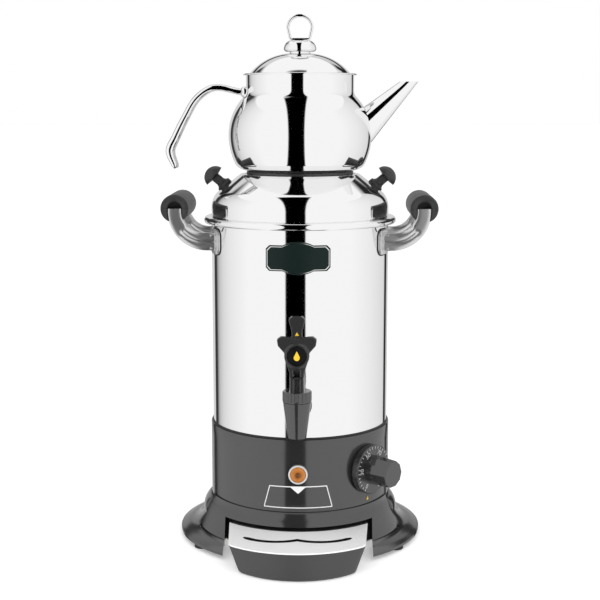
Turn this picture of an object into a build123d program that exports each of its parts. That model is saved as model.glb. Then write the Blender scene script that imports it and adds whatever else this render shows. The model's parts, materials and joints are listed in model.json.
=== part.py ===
from build123d import *
import math
import os

# Tea boiler with a teapot on its lid. Millimetres, tank axis at x = y = 0 while the pieces are made,
# front towards -Y, ground at z = 0. Every piece is moved back by FRAME_SHIFT when it is written, which
# puts the origin under the middle of the footprint.

# Common fits
SLIP = 0.3
RUN_FIT = 0.08
SCREW_FIT = 0.25

# Tank
TANK_R = 100.0
TANK_WALL = 1.0
TANK_FLOOR_Z = 117.0
TANK_RIM_Z = 368.5
FLOOR_T = 1.2
FLOOR_LIP_H = 8.0
BEAD_R = 4.0
BEAD_PROUD = 8.5
STUD_R = 2.0
STUD_LENGTH = 13.0
STUD_COUNT = 4
STUD_TURN = 21.0
NUT_H = 3.2
NUT_ACROSS = 3.6

# Heater housing
HOUSING_WALL = 2.1
HOUSING_FOOT_Z = 36.0
HOUSING_TOP_Z = 133.0
LEDGE_W = 8.3
LEDGE_T = 5.0

# Base
RING_T = 6.0
BASE_LIP_Z = 46.0
BASE_LIP_T = 1.5
BULGE_R = 112.0
BULGE_Z = 32.0
COVE_R = 130.0
COVE_Z = 12.0
BRIM_R = 138.5
BRIM_EDGE_Z = 8.5
BRIM_FOOT_Z = 5.5
SKIN_T = 3.0
WEB_T = 5.0
FASCIA_HALF_ANGLE = 72.0
FASCIA_R = 121.0
FASCIA_TOP_Z = 52.0
FASCIA_BEND_R = 107.5
FASCIA_BEND_Z = 42.0
FASCIA_FOOT_Z = 11.0
FASCIA_GAP = 0.6
BAY_HALF_W = 82.0
BAY_TOP_Z = 37.0
BAY_WALL = 2.2

# Feet and bottom plate
FOOT_ANGLES = (58.0, 140.0, 220.0, 302.0)
FOOT_CIRCLE_R = 128.5
FOOT_R = 8.5
FOOT_PLUG_R = 2.6
FOOT_PLUG_H = 3.0
BOSS_R = 6.2
PLATE_T = 1.5
PLATE_Z = 8.0
PLATE_SCREW_R = 1.6
PLATE_SCREW_LENGTH = 9.0
PLATE_SCREW_COUNT = 4
SCREW_HEAD_H = 1.8
VENT_COUNT = 12
VENT_W = 5.0
VENT_IN_R = 42.0
VENT_OUT_R = 74.0

# Drip tray and its grate
TRAY_REAR_W = 78.4
TRAY_NOSE_W = 72.6
TRAY_FOOT_REAR_W = 67.0
TRAY_FOOT_NOSE_W = 62.0
TRAY_FRONT = 179.0
TRAY_FOOT_FRONT = 175.5
TRAY_SAGITTA = 27.0
TRAY_CORNER_R = 12.0
TRAY_FOOT_BEND_R = 5.0
TRAY_TOP_Z = 31.5
TRAY_WALL = 2.2
GRATE_T = 1.5
GRATE_REAR_R = 111.0
GRATE_RIB_DEPTH = 6.0
GRATE_RIB_T = 1.4
GRATE_RIB_LENGTH = 60.0
SLOT_W = 3.0
SLOT_END_X = 58.0
SLOT_END_Y = 129.0
SLOT_LOW_X = 28.0
SLOT_LOW_Y = 143.0
SLOT_CUSP_Y = 137.5

# Pilot lamp
LAMP_Z = 95.3
LAMP_R = 10.5
LAMP_PROUD = 4.0
LENS_R = 8.4
LENS_DOME = 2.2
HOLDER_R = 6.7
HOLDER_LENGTH = 22.0

# Thermostat, on an axis that is turned from the front towards +X
DIAL_ANGLE = 48.5
DIAL_Z = 92.6
DIAL_R = 27.5
DIAL_H = 8.0
DIAL_FACE_T = 3.0
DIAL_RIM_T = 3.0
DIAL_GAP = 0.8
KNOB_R = 16.0
KNOB_H = 28.0
KNOB_FACETS = 10
SPINDLE_R = 3.0
BUSH_R = 5.5
PAD_DEPTH = 8.0
PAD_W = 44.0
PAD_H = 34.0
CAN_W = 34.0
CAN_DEPTH = 20.0
DIAL_SCREW_X = 14.0
DIAL_SCREW_R = 2.0
DIAL_SCREW_HEAD_R = 3.6
BULB_R = 3.0
BULB_LENGTH = 60.0
BULB_X = 30.0
BULB_Y = -20.0
CAPILLARY_R = 1.0
CAPILLARY_BEND_R = 6.0
CAPILLARY_LEAD = 12.0

# Heating element and the parts under the tank
ELEMENT_R = 4.0
ELEMENT_Z = 140.0
ELEMENT_HALF = 62.0
ELEMENT_CORNER_R = 40.0
ELEMENT_LEG_X = 18.0
ELEMENT_LEG_BEND_R = 12.0
ELEMENT_LEG_FOOT_Z = 96.0
GLAND_NUT_R = 11.0
GLAND_NUT_H = 7.0
SEAL_T = 2.0
CUTOUT_X = -34.0
CUTOUT_Y = 14.0
CUTOUT_R = 8.0
CUTOUT_H = 10.0
TERMINAL_W = 44.0
TERMINAL_D = 20.0
TERMINAL_H = 15.0
TERMINAL_Y = 58.0
TERMINAL_POLES = 3
TERMINAL_HOLE_R = 3.2

# Mains inlet gland at the rear
GLAND_Z = 64.0
GLAND_BORE_R = 4.0
GLAND_R = 9.0
GLAND_NECK_R = 7.0
GLAND_OUT = 13.0
GLAND_LOCK_T = 4.0

# Badge plate on the tank
BADGE_W = 71.0
BADGE_H = 36.0
BADGE_Z = 331.0
BADGE_T = 1.6
BADGE_CORNER_R = 9.0

# Side handles
GRIP_STAND = 37.6
GRIP_Z = 379.0
GRIP_R = 15.5
GRIP_HALF_LENGTH = 44.0
GRIP_EDGE_R = 2.0
GRIP_RECESS_R = 8.0
ARM_Y = 38.8
ARM_T = 9.0
ARM_FOOT_Z = 342.5
ARM_FOOT_H = 20.0
ARM_TAB_W = 15.6
ARM_TAB_H = 3.0
ARM_EDGE_R = 2.4
ARM_FLUTE_R = 1.5
SADDLE_H = 28.0
SADDLE_W = 26.0
SADDLE_T = 3.2
SADDLE_CORNER_R = 8.0
HANDLE_SCREW_R = 2.0
HANDLE_SCREW_HEAD_R = 4.0
HANDLE_SCREW_LENGTH = 9.0
HANDLE_SCREW_PITCH = 14.0

# Tap
TAP_REACH = 45.0
SPOUT_FOOT_Z = 148.0
SPOUT_TOP_Z = 186.3
SPOUT_FOOT_R = 9.75
SPOUT_TOP_R = 14.9
OUTLET_R = 6.5
SEAT_Z = 163.0
CHAMBER_R = 9.6
SHANK_Z = 173.0
SHANK_R = 9.0
SHANK_BORE_R = 5.5
SHANK_INSIDE = 14.0
COLLAR_R = 15.0
COLLAR_T = 5.0
TAP_GASKET_T = 2.5
LOCK_NUT_R = 15.0
LOCK_NUT_T = 6.0
BONNET_R = 15.3
BONNET_TOP_Z = 198.0
BONNET_ROOF_T = 4.0
FLUTE_COUNT = 18
FLUTE_R = 1.6
POST_HALF_W = 7.5
POST_FRONT = 13.0
POST_REAR = 9.0
POST_TOP_Z = 214.0
POST_RECESS_W = 7.4
POST_RECESS_D = 2.6
STEM_R = 3.4
STEM_EYE_T = 6.0
STEM_EYE_R = 4.6
STEM_COLLAR_R = 7.6
STEM_COLLAR_T = 2.0
SEAL_R = 8.4
SEAL_H = 8.0
SPRING_R = 6.0
SPRING_WIRE_R = 0.6
SPRING_TURNS = 4
SPRING_ROOM = 16.0

# Tap lever
PIVOT_Z = 235.5
PIVOT_PIN_R = 2.0
PIN_PROUD = 1.2
CAM_OFFSET = 10.0
LEVER_HUB_HALF_W = 7.6
LEVER_SLOT_HALF_W = 3.7
LEVER_MOUTH_H = 8.5
LEVER_FRONT_T = 2.6
LEVER_REAR = 8.0
BOSS_FACE_R = 13.0
MEDALLION_R = 10.5
MEDALLION_T = 1.6
MEDALLION_Z = 237.0
WING_TIP_X = 20.6
WING_TOP_Z = 257.0
WING_LOW_Z = 245.5
WING_T = 8.0
WING_TIP_R = 4.5
PADDLE_TOP_Z = 277.0
PADDLE_HALF_W = 8.4
PADDLE_WAIST_HALF_W = 5.6
PADDLE_WAIST_Z = 261.0
PADDLE_T = 7.0

# Tank lid
LID_WALL = 1.0
LID_HEM_H = 3.5
LID_SPIGOT_DEPTH = 8.0
LID_SPIGOT_GAP = 0.6
LID_TOP_Z = 415.8
LID_TOP_R = 66.5
LID_SLOPE = 37.4
LID_SHOULDER_R = 24.0
POT_SEAT_DEPTH = 1.0
POT_SEAT_R = 62.0
STEAM_HOLE_R = 46.0
LID_KNOB_OFF = 1.25
LID_KNOB_TILT = 40.0
LID_KNOB_HEAD_R = 12.6
LID_KNOB_NECK_R = 5.2
LID_KNOB_FLARE_R = 8.6
LID_KNOB_LENGTH = 27.0
LID_KNOB_HEAD_H = 12.5
LID_SCREW_R = 2.0
LID_SCREW_HEAD_R = 4.2
LID_SCREW_LENGTH = 14.0

# Teapot
POT_WALL = 0.9
POT_BASE_R = 60.0
POT_BASE_T = 4.9
POT_FOOT_BEND_R = 14.0
POT_LOW_BEND_R = 73.0
POT_BELLY_R = 80.2
POT_BELLY_H = 38.5
POT_HIGH_BEND_R = 62.0
POT_THROAT_BEND_R = 10.0
POT_NECK_R = 60.3
POT_RIM_H = 105.0
STRAINER_R = 11.0
SPOUT_ROOT_SINK = 8.2
SPOUT_ROOT_LOW_H = 20.0
SPOUT_ROOT_HIGH_H = 70.5
SPOUT_ROOT_HALF_W = 16.0
SPOUT_REACH = 41.2
SPOUT_TIP_H = 98.0
SPOUT_TIP_HALF_L = 10.4
SPOUT_TIP_HALF_W = 7.4
SPOUT_WALL = 1.0
POT_HANDLE_W = 20.0
POT_HANDLE_EDGE_R = 2.6
BRACKET_W = 16.0
BRACKET_H = 12.0
BRACKET_RISE = 86.5
BRACKET_REACH = 5.55
# Sides of the handle as distances out from the bracket's face and heights above the pot's foot
HANDLE_OUTER = ((0.0, 90.5), (30.0, 95.5), (52.5, 83.0), (67.0, 60.0), (79.5, 36.5), (85.5, 22.0), (77.0, 1.2))
HANDLE_INNER = ((70.0, 2.8), (74.5, 20.0), (68.5, 34.5), (58.0, 56.5), (45.0, 77.0), (29.0, 87.0), (0.0, 82.5))

# Teapot lid and its loop
CAP_BRIM_R = 63.6
CAP_BRIM_T = 1.6
CAP_DOME_R = 56.0
CAP_DOME_H = 24.0
CAP_WALL = 1.0
CAP_SPIGOT_DEPTH = 9.0
CAP_SPIGOT_GAP = 0.6
PEDESTAL_R = 11.5
PEDESTAL_T = 1.6
BELL_R = 18.4
BELL_FOOT_R = 15.5
BELL_TOP_R = 12.4
BELL_H = 12.1
LOOP_HALF_W = 15.0
LOOP_FOOT_HALF_W = 12.5
LOOP_TOP_Z = 591.6
LOOP_T = 3.2
LOOP_DEPTH = 9.0
CAP_SCREW_R = 2.0

# Sizes that follow from the ones above
HOUSING_IN_R = TANK_R + SLIP
HOUSING_R = HOUSING_IN_R + HOUSING_WALL
RING_R = HOUSING_R + SLIP
RING_IN_R = RING_R - RING_T
TANK_IN_R = TANK_R - TANK_WALL
LEDGE_IN_R = HOUSING_IN_R - LEDGE_W
STUD_CIRCLE_R = HOUSING_IN_R - LEDGE_W / 2
PLATE_SCREW_CIRCLE_R = RING_R - RING_T / 2
GRATE_TOP_Z = TRAY_TOP_Z + GRATE_T
TRAY_REAR_R = RING_R + SLIP
BASE_SEAT_Z = LID_TOP_Z - POT_SEAT_DEPTH
POT_Z = BASE_SEAT_Z + POT_BASE_T
POT_RIM_Z = POT_Z + POT_RIM_H
CAP_TOP_Z = POT_RIM_Z + CAP_DOME_H
BELL_Z = CAP_TOP_Z + PEDESTAL_T
LOOP_FOOT_Z = BELL_Z + BELL_H
LOOP_CENTRE_Z = LOOP_TOP_Z - LOOP_HALF_W
CAM_R = PIVOT_Z - POST_TOP_Z - SLIP
STEM_LIFT_ROOM = 5.0
SPRING_TOP_Z = BONNET_TOP_Z - BONNET_ROOF_T
COLLAR_Z = SPRING_TOP_Z - SPRING_ROOM
GRIP_X = TANK_R + GRIP_STAND
TAP_Y = -(TANK_R + TAP_REACH)
SHANK_END_Y = -(TANK_R - SHANK_INSIDE)
LID_KNOB_X = (LID_TOP_R + TANK_R) / 2 + LID_KNOB_OFF
SPOUT_ROOT_X = POT_BELLY_R - SPOUT_ROOT_SINK
SPOUT_TIP_X = POT_BELLY_R + SPOUT_REACH
ARM_IN_Y = ARM_Y - ARM_T / 2
ARM_OUT_Y = ARM_Y + ARM_T / 2
FRAME_SHIFT = (TRAY_FRONT - BRIM_R) / 2

UP = (Align.CENTER, Align.CENTER, Align.MIN)


# Helpers
def turned(*points):
    """Solid of revolution about the tank axis from a closed outline of (radius, height) points."""
    return revolve(Plane.XZ * make_face(Polyline(*points, close=True)), Axis.Z)


def turned_face(face):
    """Solid of revolution about the tank axis from a sketch of radius and height."""
    return revolve(Plane.XZ * face, Axis.Z)


def tube(outer, inner, z0, z1):
    """Round tube on the tank axis."""
    return turned((inner, z0), (outer, z0), (outer, z1), (inner, z1))


def disc(radius, z0, z1, x=0.0, y=0.0):
    """Upright cylinder at a place in plan."""
    return Pos(x, y, z0) * Cylinder(radius, z1 - z0, align=UP)


def rod(radius, start, end):
    """Round bar between two points."""
    run = Vector(end) - Vector(start)
    return Plane(origin=start, z_dir=run) * Cylinder(radius, run.length, align=UP)


def block(x0, x1, y0, y1, z0, z1):
    """Box between two corners."""
    middle = Pos((x0 + x1) / 2, (y0 + y1) / 2, (z0 + z1) / 2)
    return middle * Box(x1 - x0, y1 - y0, z1 - z0)


def hex_nut(radius, bore, z0, z1, x=0.0, y=0.0):
    """Hexagon nut with its corners on a circle, and a plain bore."""
    outline = RegularPolygon(radius, 6) - Circle(bore)
    return Pos(x, y, z0) * extrude(outline, z1 - z0)


def around(radius, angle):
    """Point in plan at an angle from the front, positive towards +X."""
    a = math.radians(angle)
    return radius * math.sin(a), -radius * math.cos(a)


def wedge(radius, half_angle, z0, z1):
    """Pie slice that opens towards the front."""
    reach = 2 * radius
    left = around(reach, -half_angle)
    right = around(reach, half_angle)
    front = (0.0, -2 * reach)
    slice_face = make_face(Polyline((0.0, 0.0), right, front, left, close=True))
    return Pos(0, 0, z0) * extrude(slice_face, z1 - z0)


def group(solids):
    """Separate solids that share one node."""
    return Compound([solid for piece in solids for solid in piece.solids()])


def outline_face(*lines):
    """Sketch bounded by lines, arcs and polylines that follow each other."""
    return make_face([edge for line in lines for edge in line.edges()])


def both_sides(solid):
    """A piece on the +X side and its mirror image on the -X side."""
    return [solid, mirror(solid, about=Plane.YZ)]


# Base
def skin_outline():
    """Outer line of the base, from its lip over the bulge and the cove to the brim."""
    lip = (RING_R + BASE_LIP_T, BASE_LIP_Z)
    bulge = (BULGE_R, BULGE_Z)
    cove = (COVE_R, COVE_Z)
    bulge_mid = ((lip[0] + bulge[0]) / 2 + 1.3, (lip[1] + bulge[1]) / 2 + 1.3)
    cove_mid = ((bulge[0] + cove[0]) / 2 - 3.5, (bulge[1] + cove[1]) / 2 - 4.0)
    return [
        ThreePointArc(lip, bulge_mid, bulge),
        ThreePointArc(bulge, cove_mid, cove),
        Line(cove, (BRIM_R, BRIM_EDGE_Z)),
        Line((BRIM_R, BRIM_EDGE_Z), (BRIM_R, BRIM_FOOT_Z)),
    ]


def skin_fill():
    """Everything under the base's outer line, as a solid."""
    top = (RING_R + BASE_LIP_T, BASE_LIP_Z)
    rest = Polyline((BRIM_R, BRIM_FOOT_Z), (RING_IN_R, BRIM_FOOT_Z), (RING_IN_R, BASE_LIP_Z), top)
    return turned_face(make_face(skin_outline() + rest.edges()))


def base_flange():
    """Black base: a ring that carries the housing, a bulged skin and a wide brim."""
    lip = (RING_R + BASE_LIP_T, BASE_LIP_Z)
    bulge = (BULGE_R - SKIN_T, BULGE_Z)
    cove = (COVE_R, COVE_Z - SKIN_T)
    under_mid = ((bulge[0] + cove[0]) / 2 - 3.5, (bulge[1] + cove[1]) / 2 - 4.0)
    foot = BRIM_R - SKIN_T
    under = [
        Polyline((BRIM_R, BRIM_FOOT_Z), (foot, BRIM_FOOT_Z), (foot, BRIM_FOOT_Z + 1.0), cove),
        ThreePointArc(cove, under_mid, bulge),
        Polyline(
            bulge, (RING_R + SKIN_T, HOUSING_FOOT_Z - WEB_T), (RING_R - RING_T / 2, HOUSING_FOOT_Z - WEB_T),
            (RING_R - RING_T / 2, HOUSING_FOOT_Z), (RING_R, HOUSING_FOOT_Z), (RING_R, BASE_LIP_Z), lip,
        ),
    ]
    edges = skin_outline() + [edge for line in under for edge in line.edges()]
    skin = turned_face(make_face(edges))
    for angle in FOOT_ANGLES:
        x, y = around(FOOT_CIRCLE_R, angle)
        skin += disc(BOSS_R, BRIM_FOOT_Z, BASE_LIP_Z, x, y) & Pos(0, 0, -SKIN_T / 2) * skin_fill()
    front = wedge(BRIM_R, FASCIA_HALF_ANGLE, 0, BASE_LIP_Z + 1)
    skin -= front & tube(FASCIA_R, RING_R, 0, BASE_LIP_Z + 1)
    skin -= block(-BAY_HALF_W, BAY_HALF_W, -2 * BRIM_R, -RING_R / 2, 0, BASE_LIP_Z + 1)
    base = skin + tube(RING_R, RING_IN_R, PLATE_Z, HOUSING_FOOT_Z)
    for x, y in plate_screw_places():
        base -= disc(PLATE_SCREW_R + SCREW_FIT, PLATE_Z, PLATE_Z + PLATE_SCREW_LENGTH, x, y)
    for angle in FOOT_ANGLES:
        x, y = around(FOOT_CIRCLE_R, angle)
        base -= disc(FOOT_PLUG_R + SLIP, BRIM_FOOT_Z, BRIM_FOOT_Z + FOOT_PLUG_H + SLIP, x, y)
    return base


def fascia_profile(wall):
    """Outline of the fascia's cone; wall is how thick it is, or None for all that lies behind it."""
    top = (RING_R + SLIP, FASCIA_TOP_Z)
    edge = (RING_R + SLIP + 1.2, FASCIA_TOP_Z)
    bend = (FASCIA_BEND_R, FASCIA_BEND_Z)
    foot_r = FASCIA_R - FASCIA_GAP
    foot = (foot_r, FASCIA_FOOT_Z)
    mid = ((edge[0] + bend[0]) / 2 - 0.9, (edge[1] + bend[1]) / 2 - 0.5)
    lines = [ThreePointArc(edge, mid, bend), Line(bend, foot)]
    low = PLATE_Z
    if wall is None:
        back = Polyline(foot, (foot_r, low), (RING_R + SLIP, low), top, edge)
    else:
        back = Polyline(
            foot,
            (foot_r, low),
            (foot_r - wall, low),
            (foot_r - wall, FASCIA_FOOT_Z - 0.5),
            (FASCIA_BEND_R - wall, FASCIA_BEND_Z - 1.0),
            (RING_R + SLIP, FASCIA_BEND_Z + 2.0),
            top,
            edge,
        )
    return make_face(lines + back.edges())


def front_fascia():
    """Front moulding with the opening of the drip tray and a cheek on each side of it."""
    part_angle = math.degrees(FASCIA_GAP / FASCIA_R)
    front = wedge(BRIM_R, FASCIA_HALF_ANGLE - part_angle, 0, FASCIA_TOP_Z + 1)
    shell = turned_face(fascia_profile(SKIN_T)) & front
    fill = turned_face(fascia_profile(None)) & front
    bay = block(-BAY_HALF_W, BAY_HALF_W, -2 * BRIM_R, -RING_R / 2, 0, BAY_TOP_Z)
    fascia = shell - bay
    for side in (-1, 1):
        x0, x1 = sorted((side * BAY_HALF_W, side * (BAY_HALF_W + BAY_WALL)))
        fascia += block(x0, x1, -BRIM_R, 0, 0, FASCIA_TOP_Z) & fill
    return fascia


def rubber_feet():
    """Four rubber feet, each with a plug that is pushed into a boss of the base."""
    feet = []
    for angle in FOOT_ANGLES:
        x, y = around(FOOT_CIRCLE_R, angle)
        pad = turned((0, 0), (FOOT_R - 1.0, 0), (FOOT_R, 1.0), (FOOT_R - 0.8, BRIM_FOOT_Z), (0, BRIM_FOOT_Z))
        plug = disc(FOOT_PLUG_R, BRIM_FOOT_Z, BRIM_FOOT_Z + FOOT_PLUG_H)
        feet.append(Pos(x, y, 0) * (pad + plug))
    return group(feet)


def plate_screw_places():
    """Places in plan of the screws that hold the bottom plate."""
    step = 360.0 / PLATE_SCREW_COUNT
    return [around(PLATE_SCREW_CIRCLE_R, 45.0 + step * n) for n in range(PLATE_SCREW_COUNT)]


def bottom_plate():
    """Steel plate that closes the base, with a ring of vent slots."""
    plate = disc(RING_R, PLATE_Z - PLATE_T, PLATE_Z)
    middle = (VENT_IN_R + VENT_OUT_R) / 2
    slot = extrude(SlotOverall(VENT_OUT_R - VENT_IN_R, VENT_W), PLATE_T * 3)
    for n in range(VENT_COUNT):
        plate -= Rot(0, 0, n * 360.0 / VENT_COUNT) * Pos(middle, 0, PLATE_Z - 2 * PLATE_T) * slot
    for x, y in plate_screw_places():
        plate -= disc(PLATE_SCREW_R + SCREW_FIT, PLATE_Z - PLATE_T, PLATE_Z, x, y)
    return plate


def pan_screw(shank_r, head_r, length, head_h):
    """Plain screw along +Z with its seat at z = 0 and a slightly domed head below it."""
    return turned(
        (0, -head_h), (head_r * 0.7, -head_h), (head_r, -head_h * 0.5), (head_r, 0),
        (shank_r, 0), (shank_r, length), (0, length),
    )


def plate_screws():
    """Screws through the bottom plate into the base ring."""
    screw = pan_screw(PLATE_SCREW_R, PLATE_SCREW_R * 1.8, PLATE_SCREW_LENGTH, SCREW_HEAD_H)
    return group(Pos(x, y, PLATE_Z - PLATE_T) * screw for x, y in plate_screw_places())


# Heater housing and what it carries
def dial_plane():
    """Plane on the housing's surface at the thermostat, with its normal pointing out."""
    x, y = around(HOUSING_R, DIAL_ANGLE)
    a = math.radians(DIAL_ANGLE)
    return Plane(origin=(x, y, DIAL_Z), x_dir=(math.cos(a), math.sin(a), 0), z_dir=(math.sin(a), -math.cos(a), 0))


def dial_rod(radius, z0, z1, x=0.0, y=0.0):
    """Cylinder on the thermostat's axis, or beside it."""
    return dial_plane() * disc(radius, z0, z1, x, y)


def heater_housing():
    """Black sleeve round the heater chamber, with the ledge that carries the tank."""
    sleeve = tube(HOUSING_R, HOUSING_IN_R, HOUSING_FOOT_Z, HOUSING_TOP_Z)
    sleeve = chamfer(sleeve.edges().filter_by(GeomType.CIRCLE).sort_by(Axis.Z)[-2:].sort_by(SortBy.RADIUS)[-1:], 0.8)
    sleeve += tube(HOUSING_IN_R + HOUSING_WALL / 2, LEDGE_IN_R, TANK_FLOOR_Z - LEDGE_T, TANK_FLOOR_Z)
    pad = dial_plane() * block(-PAD_W / 2, PAD_W / 2, -PAD_H / 2, PAD_H / 2, -PAD_DEPTH, 0)
    sleeve += pad & disc(HOUSING_R - HOUSING_WALL / 2, 0, HOUSING_TOP_Z)
    sleeve -= dial_rod(BUSH_R + SLIP, -2 * PAD_DEPTH, PAD_DEPTH)
    for side in (-1, 1):
        sleeve -= dial_rod(DIAL_SCREW_R + SCREW_FIT, -2 * PAD_DEPTH, PAD_DEPTH, side * DIAL_SCREW_X)
    for x, y in stud_places():
        sleeve -= disc(STUD_R + SCREW_FIT, TANK_FLOOR_Z - LEDGE_T, TANK_FLOOR_Z, x, y)
    sleeve -= rod(HOLDER_R + SLIP, (0, -HOUSING_R - 1, LAMP_Z), (0, -LEDGE_IN_R, LAMP_Z))
    sleeve -= rod(GLAND_NECK_R + SLIP, (0, LEDGE_IN_R, GLAND_Z), (0, HOUSING_R + 1, GLAND_Z))
    return sleeve


def lamp_bezel():
    """Chromed ring of the pilot lamp, bedded on the round housing."""
    face = -(HOUSING_R + LAMP_PROUD)
    ring = rod(LAMP_R, (0, -HOUSING_IN_R, LAMP_Z), (0, face, LAMP_Z))
    ring -= rod(LENS_R + SLIP, (0, 0, LAMP_Z), (0, face - 1, LAMP_Z))
    ring -= disc(HOUSING_R, 0, HOUSING_TOP_Z)
    return fillet(ring.edges().filter_by(GeomType.CIRCLE).sort_by(Axis.Y)[0:2], 0.8)


def lamp_lens():
    """Amber lens with a shallow dome."""
    back = -(HOUSING_R + 0.8)
    face = -(HOUSING_R + LAMP_PROUD - 0.8)
    rim = back - face
    profile = outline_face(
        Polyline((0, rim + LENS_DOME), (0, 0), (LENS_R, 0), (LENS_R, rim)),
        TangentArc((0, rim + LENS_DOME), (LENS_R, rim), tangent=(1, 0)),
    )
    lens = turned_face(profile)
    return Plane(origin=(0, back, LAMP_Z), x_dir=(1, 0, 0), z_dir=(0, -1, 0)) * lens


def lamp_holder():
    """Lamp body behind the lens, with its nut and two tabs inside the housing."""
    front = -(HOUSING_R + 0.8)
    body = rod(HOLDER_R, (0, front, LAMP_Z), (0, front + HOLDER_LENGTH, LAMP_Z))
    nut_face = -(HOUSING_IN_R - 1.2)
    nut = rod(HOLDER_R * 1.5, (0, nut_face, LAMP_Z), (0, nut_face + 4.0, LAMP_Z))
    tabs = [
        block(x - 0.4, x + 0.4, front + HOLDER_LENGTH, front + HOLDER_LENGTH + 8.0, LAMP_Z - 2.4, LAMP_Z + 2.4)
        for x in (-3.0, 3.0)
    ]
    return body + nut + tabs[0] + tabs[1]


def cable_gland():
    """Mains inlet at the rear: a flanged bush with a plain bore and a lock ring inside."""
    out = HOUSING_R + GLAND_OUT
    cap = rod(GLAND_R, (0, HOUSING_IN_R, GLAND_Z), (0, out, GLAND_Z)) - disc(HOUSING_R, 0, HOUSING_TOP_Z)
    cap = chamfer(cap.edges().filter_by(GeomType.CIRCLE).sort_by(Axis.Y)[-1:], 2.0)
    neck_end = LEDGE_IN_R - GLAND_LOCK_T
    neck = rod(GLAND_NECK_R, (0, neck_end, GLAND_Z), (0, HOUSING_R + 1, GLAND_Z))
    lock = rod(GLAND_R + 1.5, (0, LEDGE_IN_R + 2.0, GLAND_Z), (0, LEDGE_IN_R + 2.0 + GLAND_LOCK_T, GLAND_Z))
    bore = rod(GLAND_BORE_R, (0, 0, GLAND_Z), (0, out + 1, GLAND_Z))
    return cap + neck + lock - bore


def thermostat_body():
    """Capillary thermostat behind the dial: threaded bush, mounting flange and can."""
    flange_t = 1.5
    bush = disc(BUSH_R, -PAD_DEPTH, -0.6)
    flange = block(-PAD_W / 2 + 2, PAD_W / 2 - 2, -PAD_H / 2 + 2, PAD_H / 2 - 2, -PAD_DEPTH - flange_t, -PAD_DEPTH)
    can_top = -PAD_DEPTH - flange_t
    can = block(-CAN_W / 2, CAN_W / 2, -PAD_H / 2 + 3, PAD_H / 2 - 3, can_top - CAN_DEPTH, can_top)
    can = fillet(can.edges().filter_by(Axis.Z), 3.0)
    body = bush + flange + can - disc(SPINDLE_R + RUN_FIT, can_top - CAN_DEPTH / 2, 0)
    for side in (-1, 1):
        body -= disc(DIAL_SCREW_R + SCREW_FIT, -CAN_DEPTH, 0, side * DIAL_SCREW_X)
    return dial_plane() * body


def thermostat_screws():
    """Two screws through the housing into the thermostat's flange, hidden by the dial."""
    seat = 0.3
    screw = Rot(180, 0, 0) * pan_screw(DIAL_SCREW_R, DIAL_SCREW_HEAD_R, PAD_DEPTH + 3.0, SCREW_HEAD_H)
    return group(dial_plane() * Pos(side * DIAL_SCREW_X, 0, -seat) * screw for side in (-1, 1))


def sensor_line():
    """Thermostat bulb under the tank floor with its capillary."""
    can_back = -PAD_DEPTH - 1.5 - CAN_DEPTH
    start = dial_plane().from_local_coords(Vector(0, 0, can_back))
    inner = dial_plane().from_local_coords(Vector(0, 0, can_back - CAPILLARY_LEAD))
    bulb_z = TANK_FLOOR_Z - BULB_R - SLIP
    bulb_end = Vector(BULB_X, BULB_Y, bulb_z)
    lead_in = Vector(BULB_X + CAPILLARY_LEAD, BULB_Y, bulb_z)
    path = FilletPolyline(start, inner, lead_in, bulb_end, radius=CAPILLARY_BEND_R)
    section = Plane(origin=start, z_dir=path % 0) * Circle(CAPILLARY_R)
    bulb = rod(BULB_R, bulb_end, bulb_end - Vector(BULB_LENGTH, 0, 0))
    return sweep(section, path) + bulb


def dial_skirt():
    """Dial of the thermostat, a shallow cup whose face carries the scale."""
    top = DIAL_GAP + DIAL_H
    cup = turned(
        (SPINDLE_R, top - DIAL_FACE_T), (DIAL_R - DIAL_RIM_T, top - DIAL_FACE_T), (DIAL_R - DIAL_RIM_T, DIAL_GAP),
        (DIAL_R, DIAL_GAP), (DIAL_R, top - 1.0), (DIAL_R - 1.0, top), (SPINDLE_R, top),
    )
    return dial_plane() * cup


def knob_grip():
    """Faceted grip that is turned with the fingers."""
    top = DIAL_GAP + DIAL_H
    grip = Pos(0, 0, top) * extrude(RegularPolygon(KNOB_R, KNOB_FACETS), KNOB_H, taper=2.0)
    grip = chamfer(grip.faces().sort_by(Axis.Z)[-1].edges(), 1.0)
    grip -= disc(SPINDLE_R, top, top + KNOB_H / 2)
    return dial_plane() * grip


def dial_spindle():
    """Steel spindle from the thermostat into the grip."""
    foot = -PAD_DEPTH - 1.5 - CAN_DEPTH / 2 + 1.0
    return dial_rod(SPINDLE_R, foot, DIAL_GAP + DIAL_H + KNOB_H / 2)


# Tank and heater
def stud_places():
    """Places in plan of the studs that hold the tank on its ledge."""
    step = 360.0 / STUD_COUNT
    return [around(STUD_CIRCLE_R, step / 2 + STUD_TURN + step * n) for n in range(STUD_COUNT)]


def rolled_rim():
    """Rolled bead round the tank's mouth: a level top and a half-round edge."""
    low = TANK_RIM_Z - 2 * BEAD_R
    edge_r = TANK_R + BEAD_PROUD - BEAD_R
    back_r = TANK_R - TANK_WALL / 2
    arc = ThreePointArc((edge_r, low), (edge_r + BEAD_R, low + BEAD_R), (edge_r, TANK_RIM_Z))
    back = Polyline((edge_r, TANK_RIM_Z), (back_r, TANK_RIM_Z), (back_r, low), (edge_r, low))
    return turned_face(outline_face(arc, back))


def tank_shell():
    """Stainless tube of the water tank with a rolled rim."""
    shell = tube(TANK_R, TANK_IN_R, TANK_FLOOR_Z, TANK_RIM_Z) + rolled_rim()
    shell -= rod(SHANK_R + SLIP, (0, -TANK_R - 5, SHANK_Z), (0, -TANK_R / 2, SHANK_Z))
    for place in handle_screw_places():
        shell -= handle_screw_plane(*place) * disc(HANDLE_SCREW_R + SCREW_FIT, -3 * TANK_WALL, 3 * TANK_WALL)
    return shell


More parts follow.
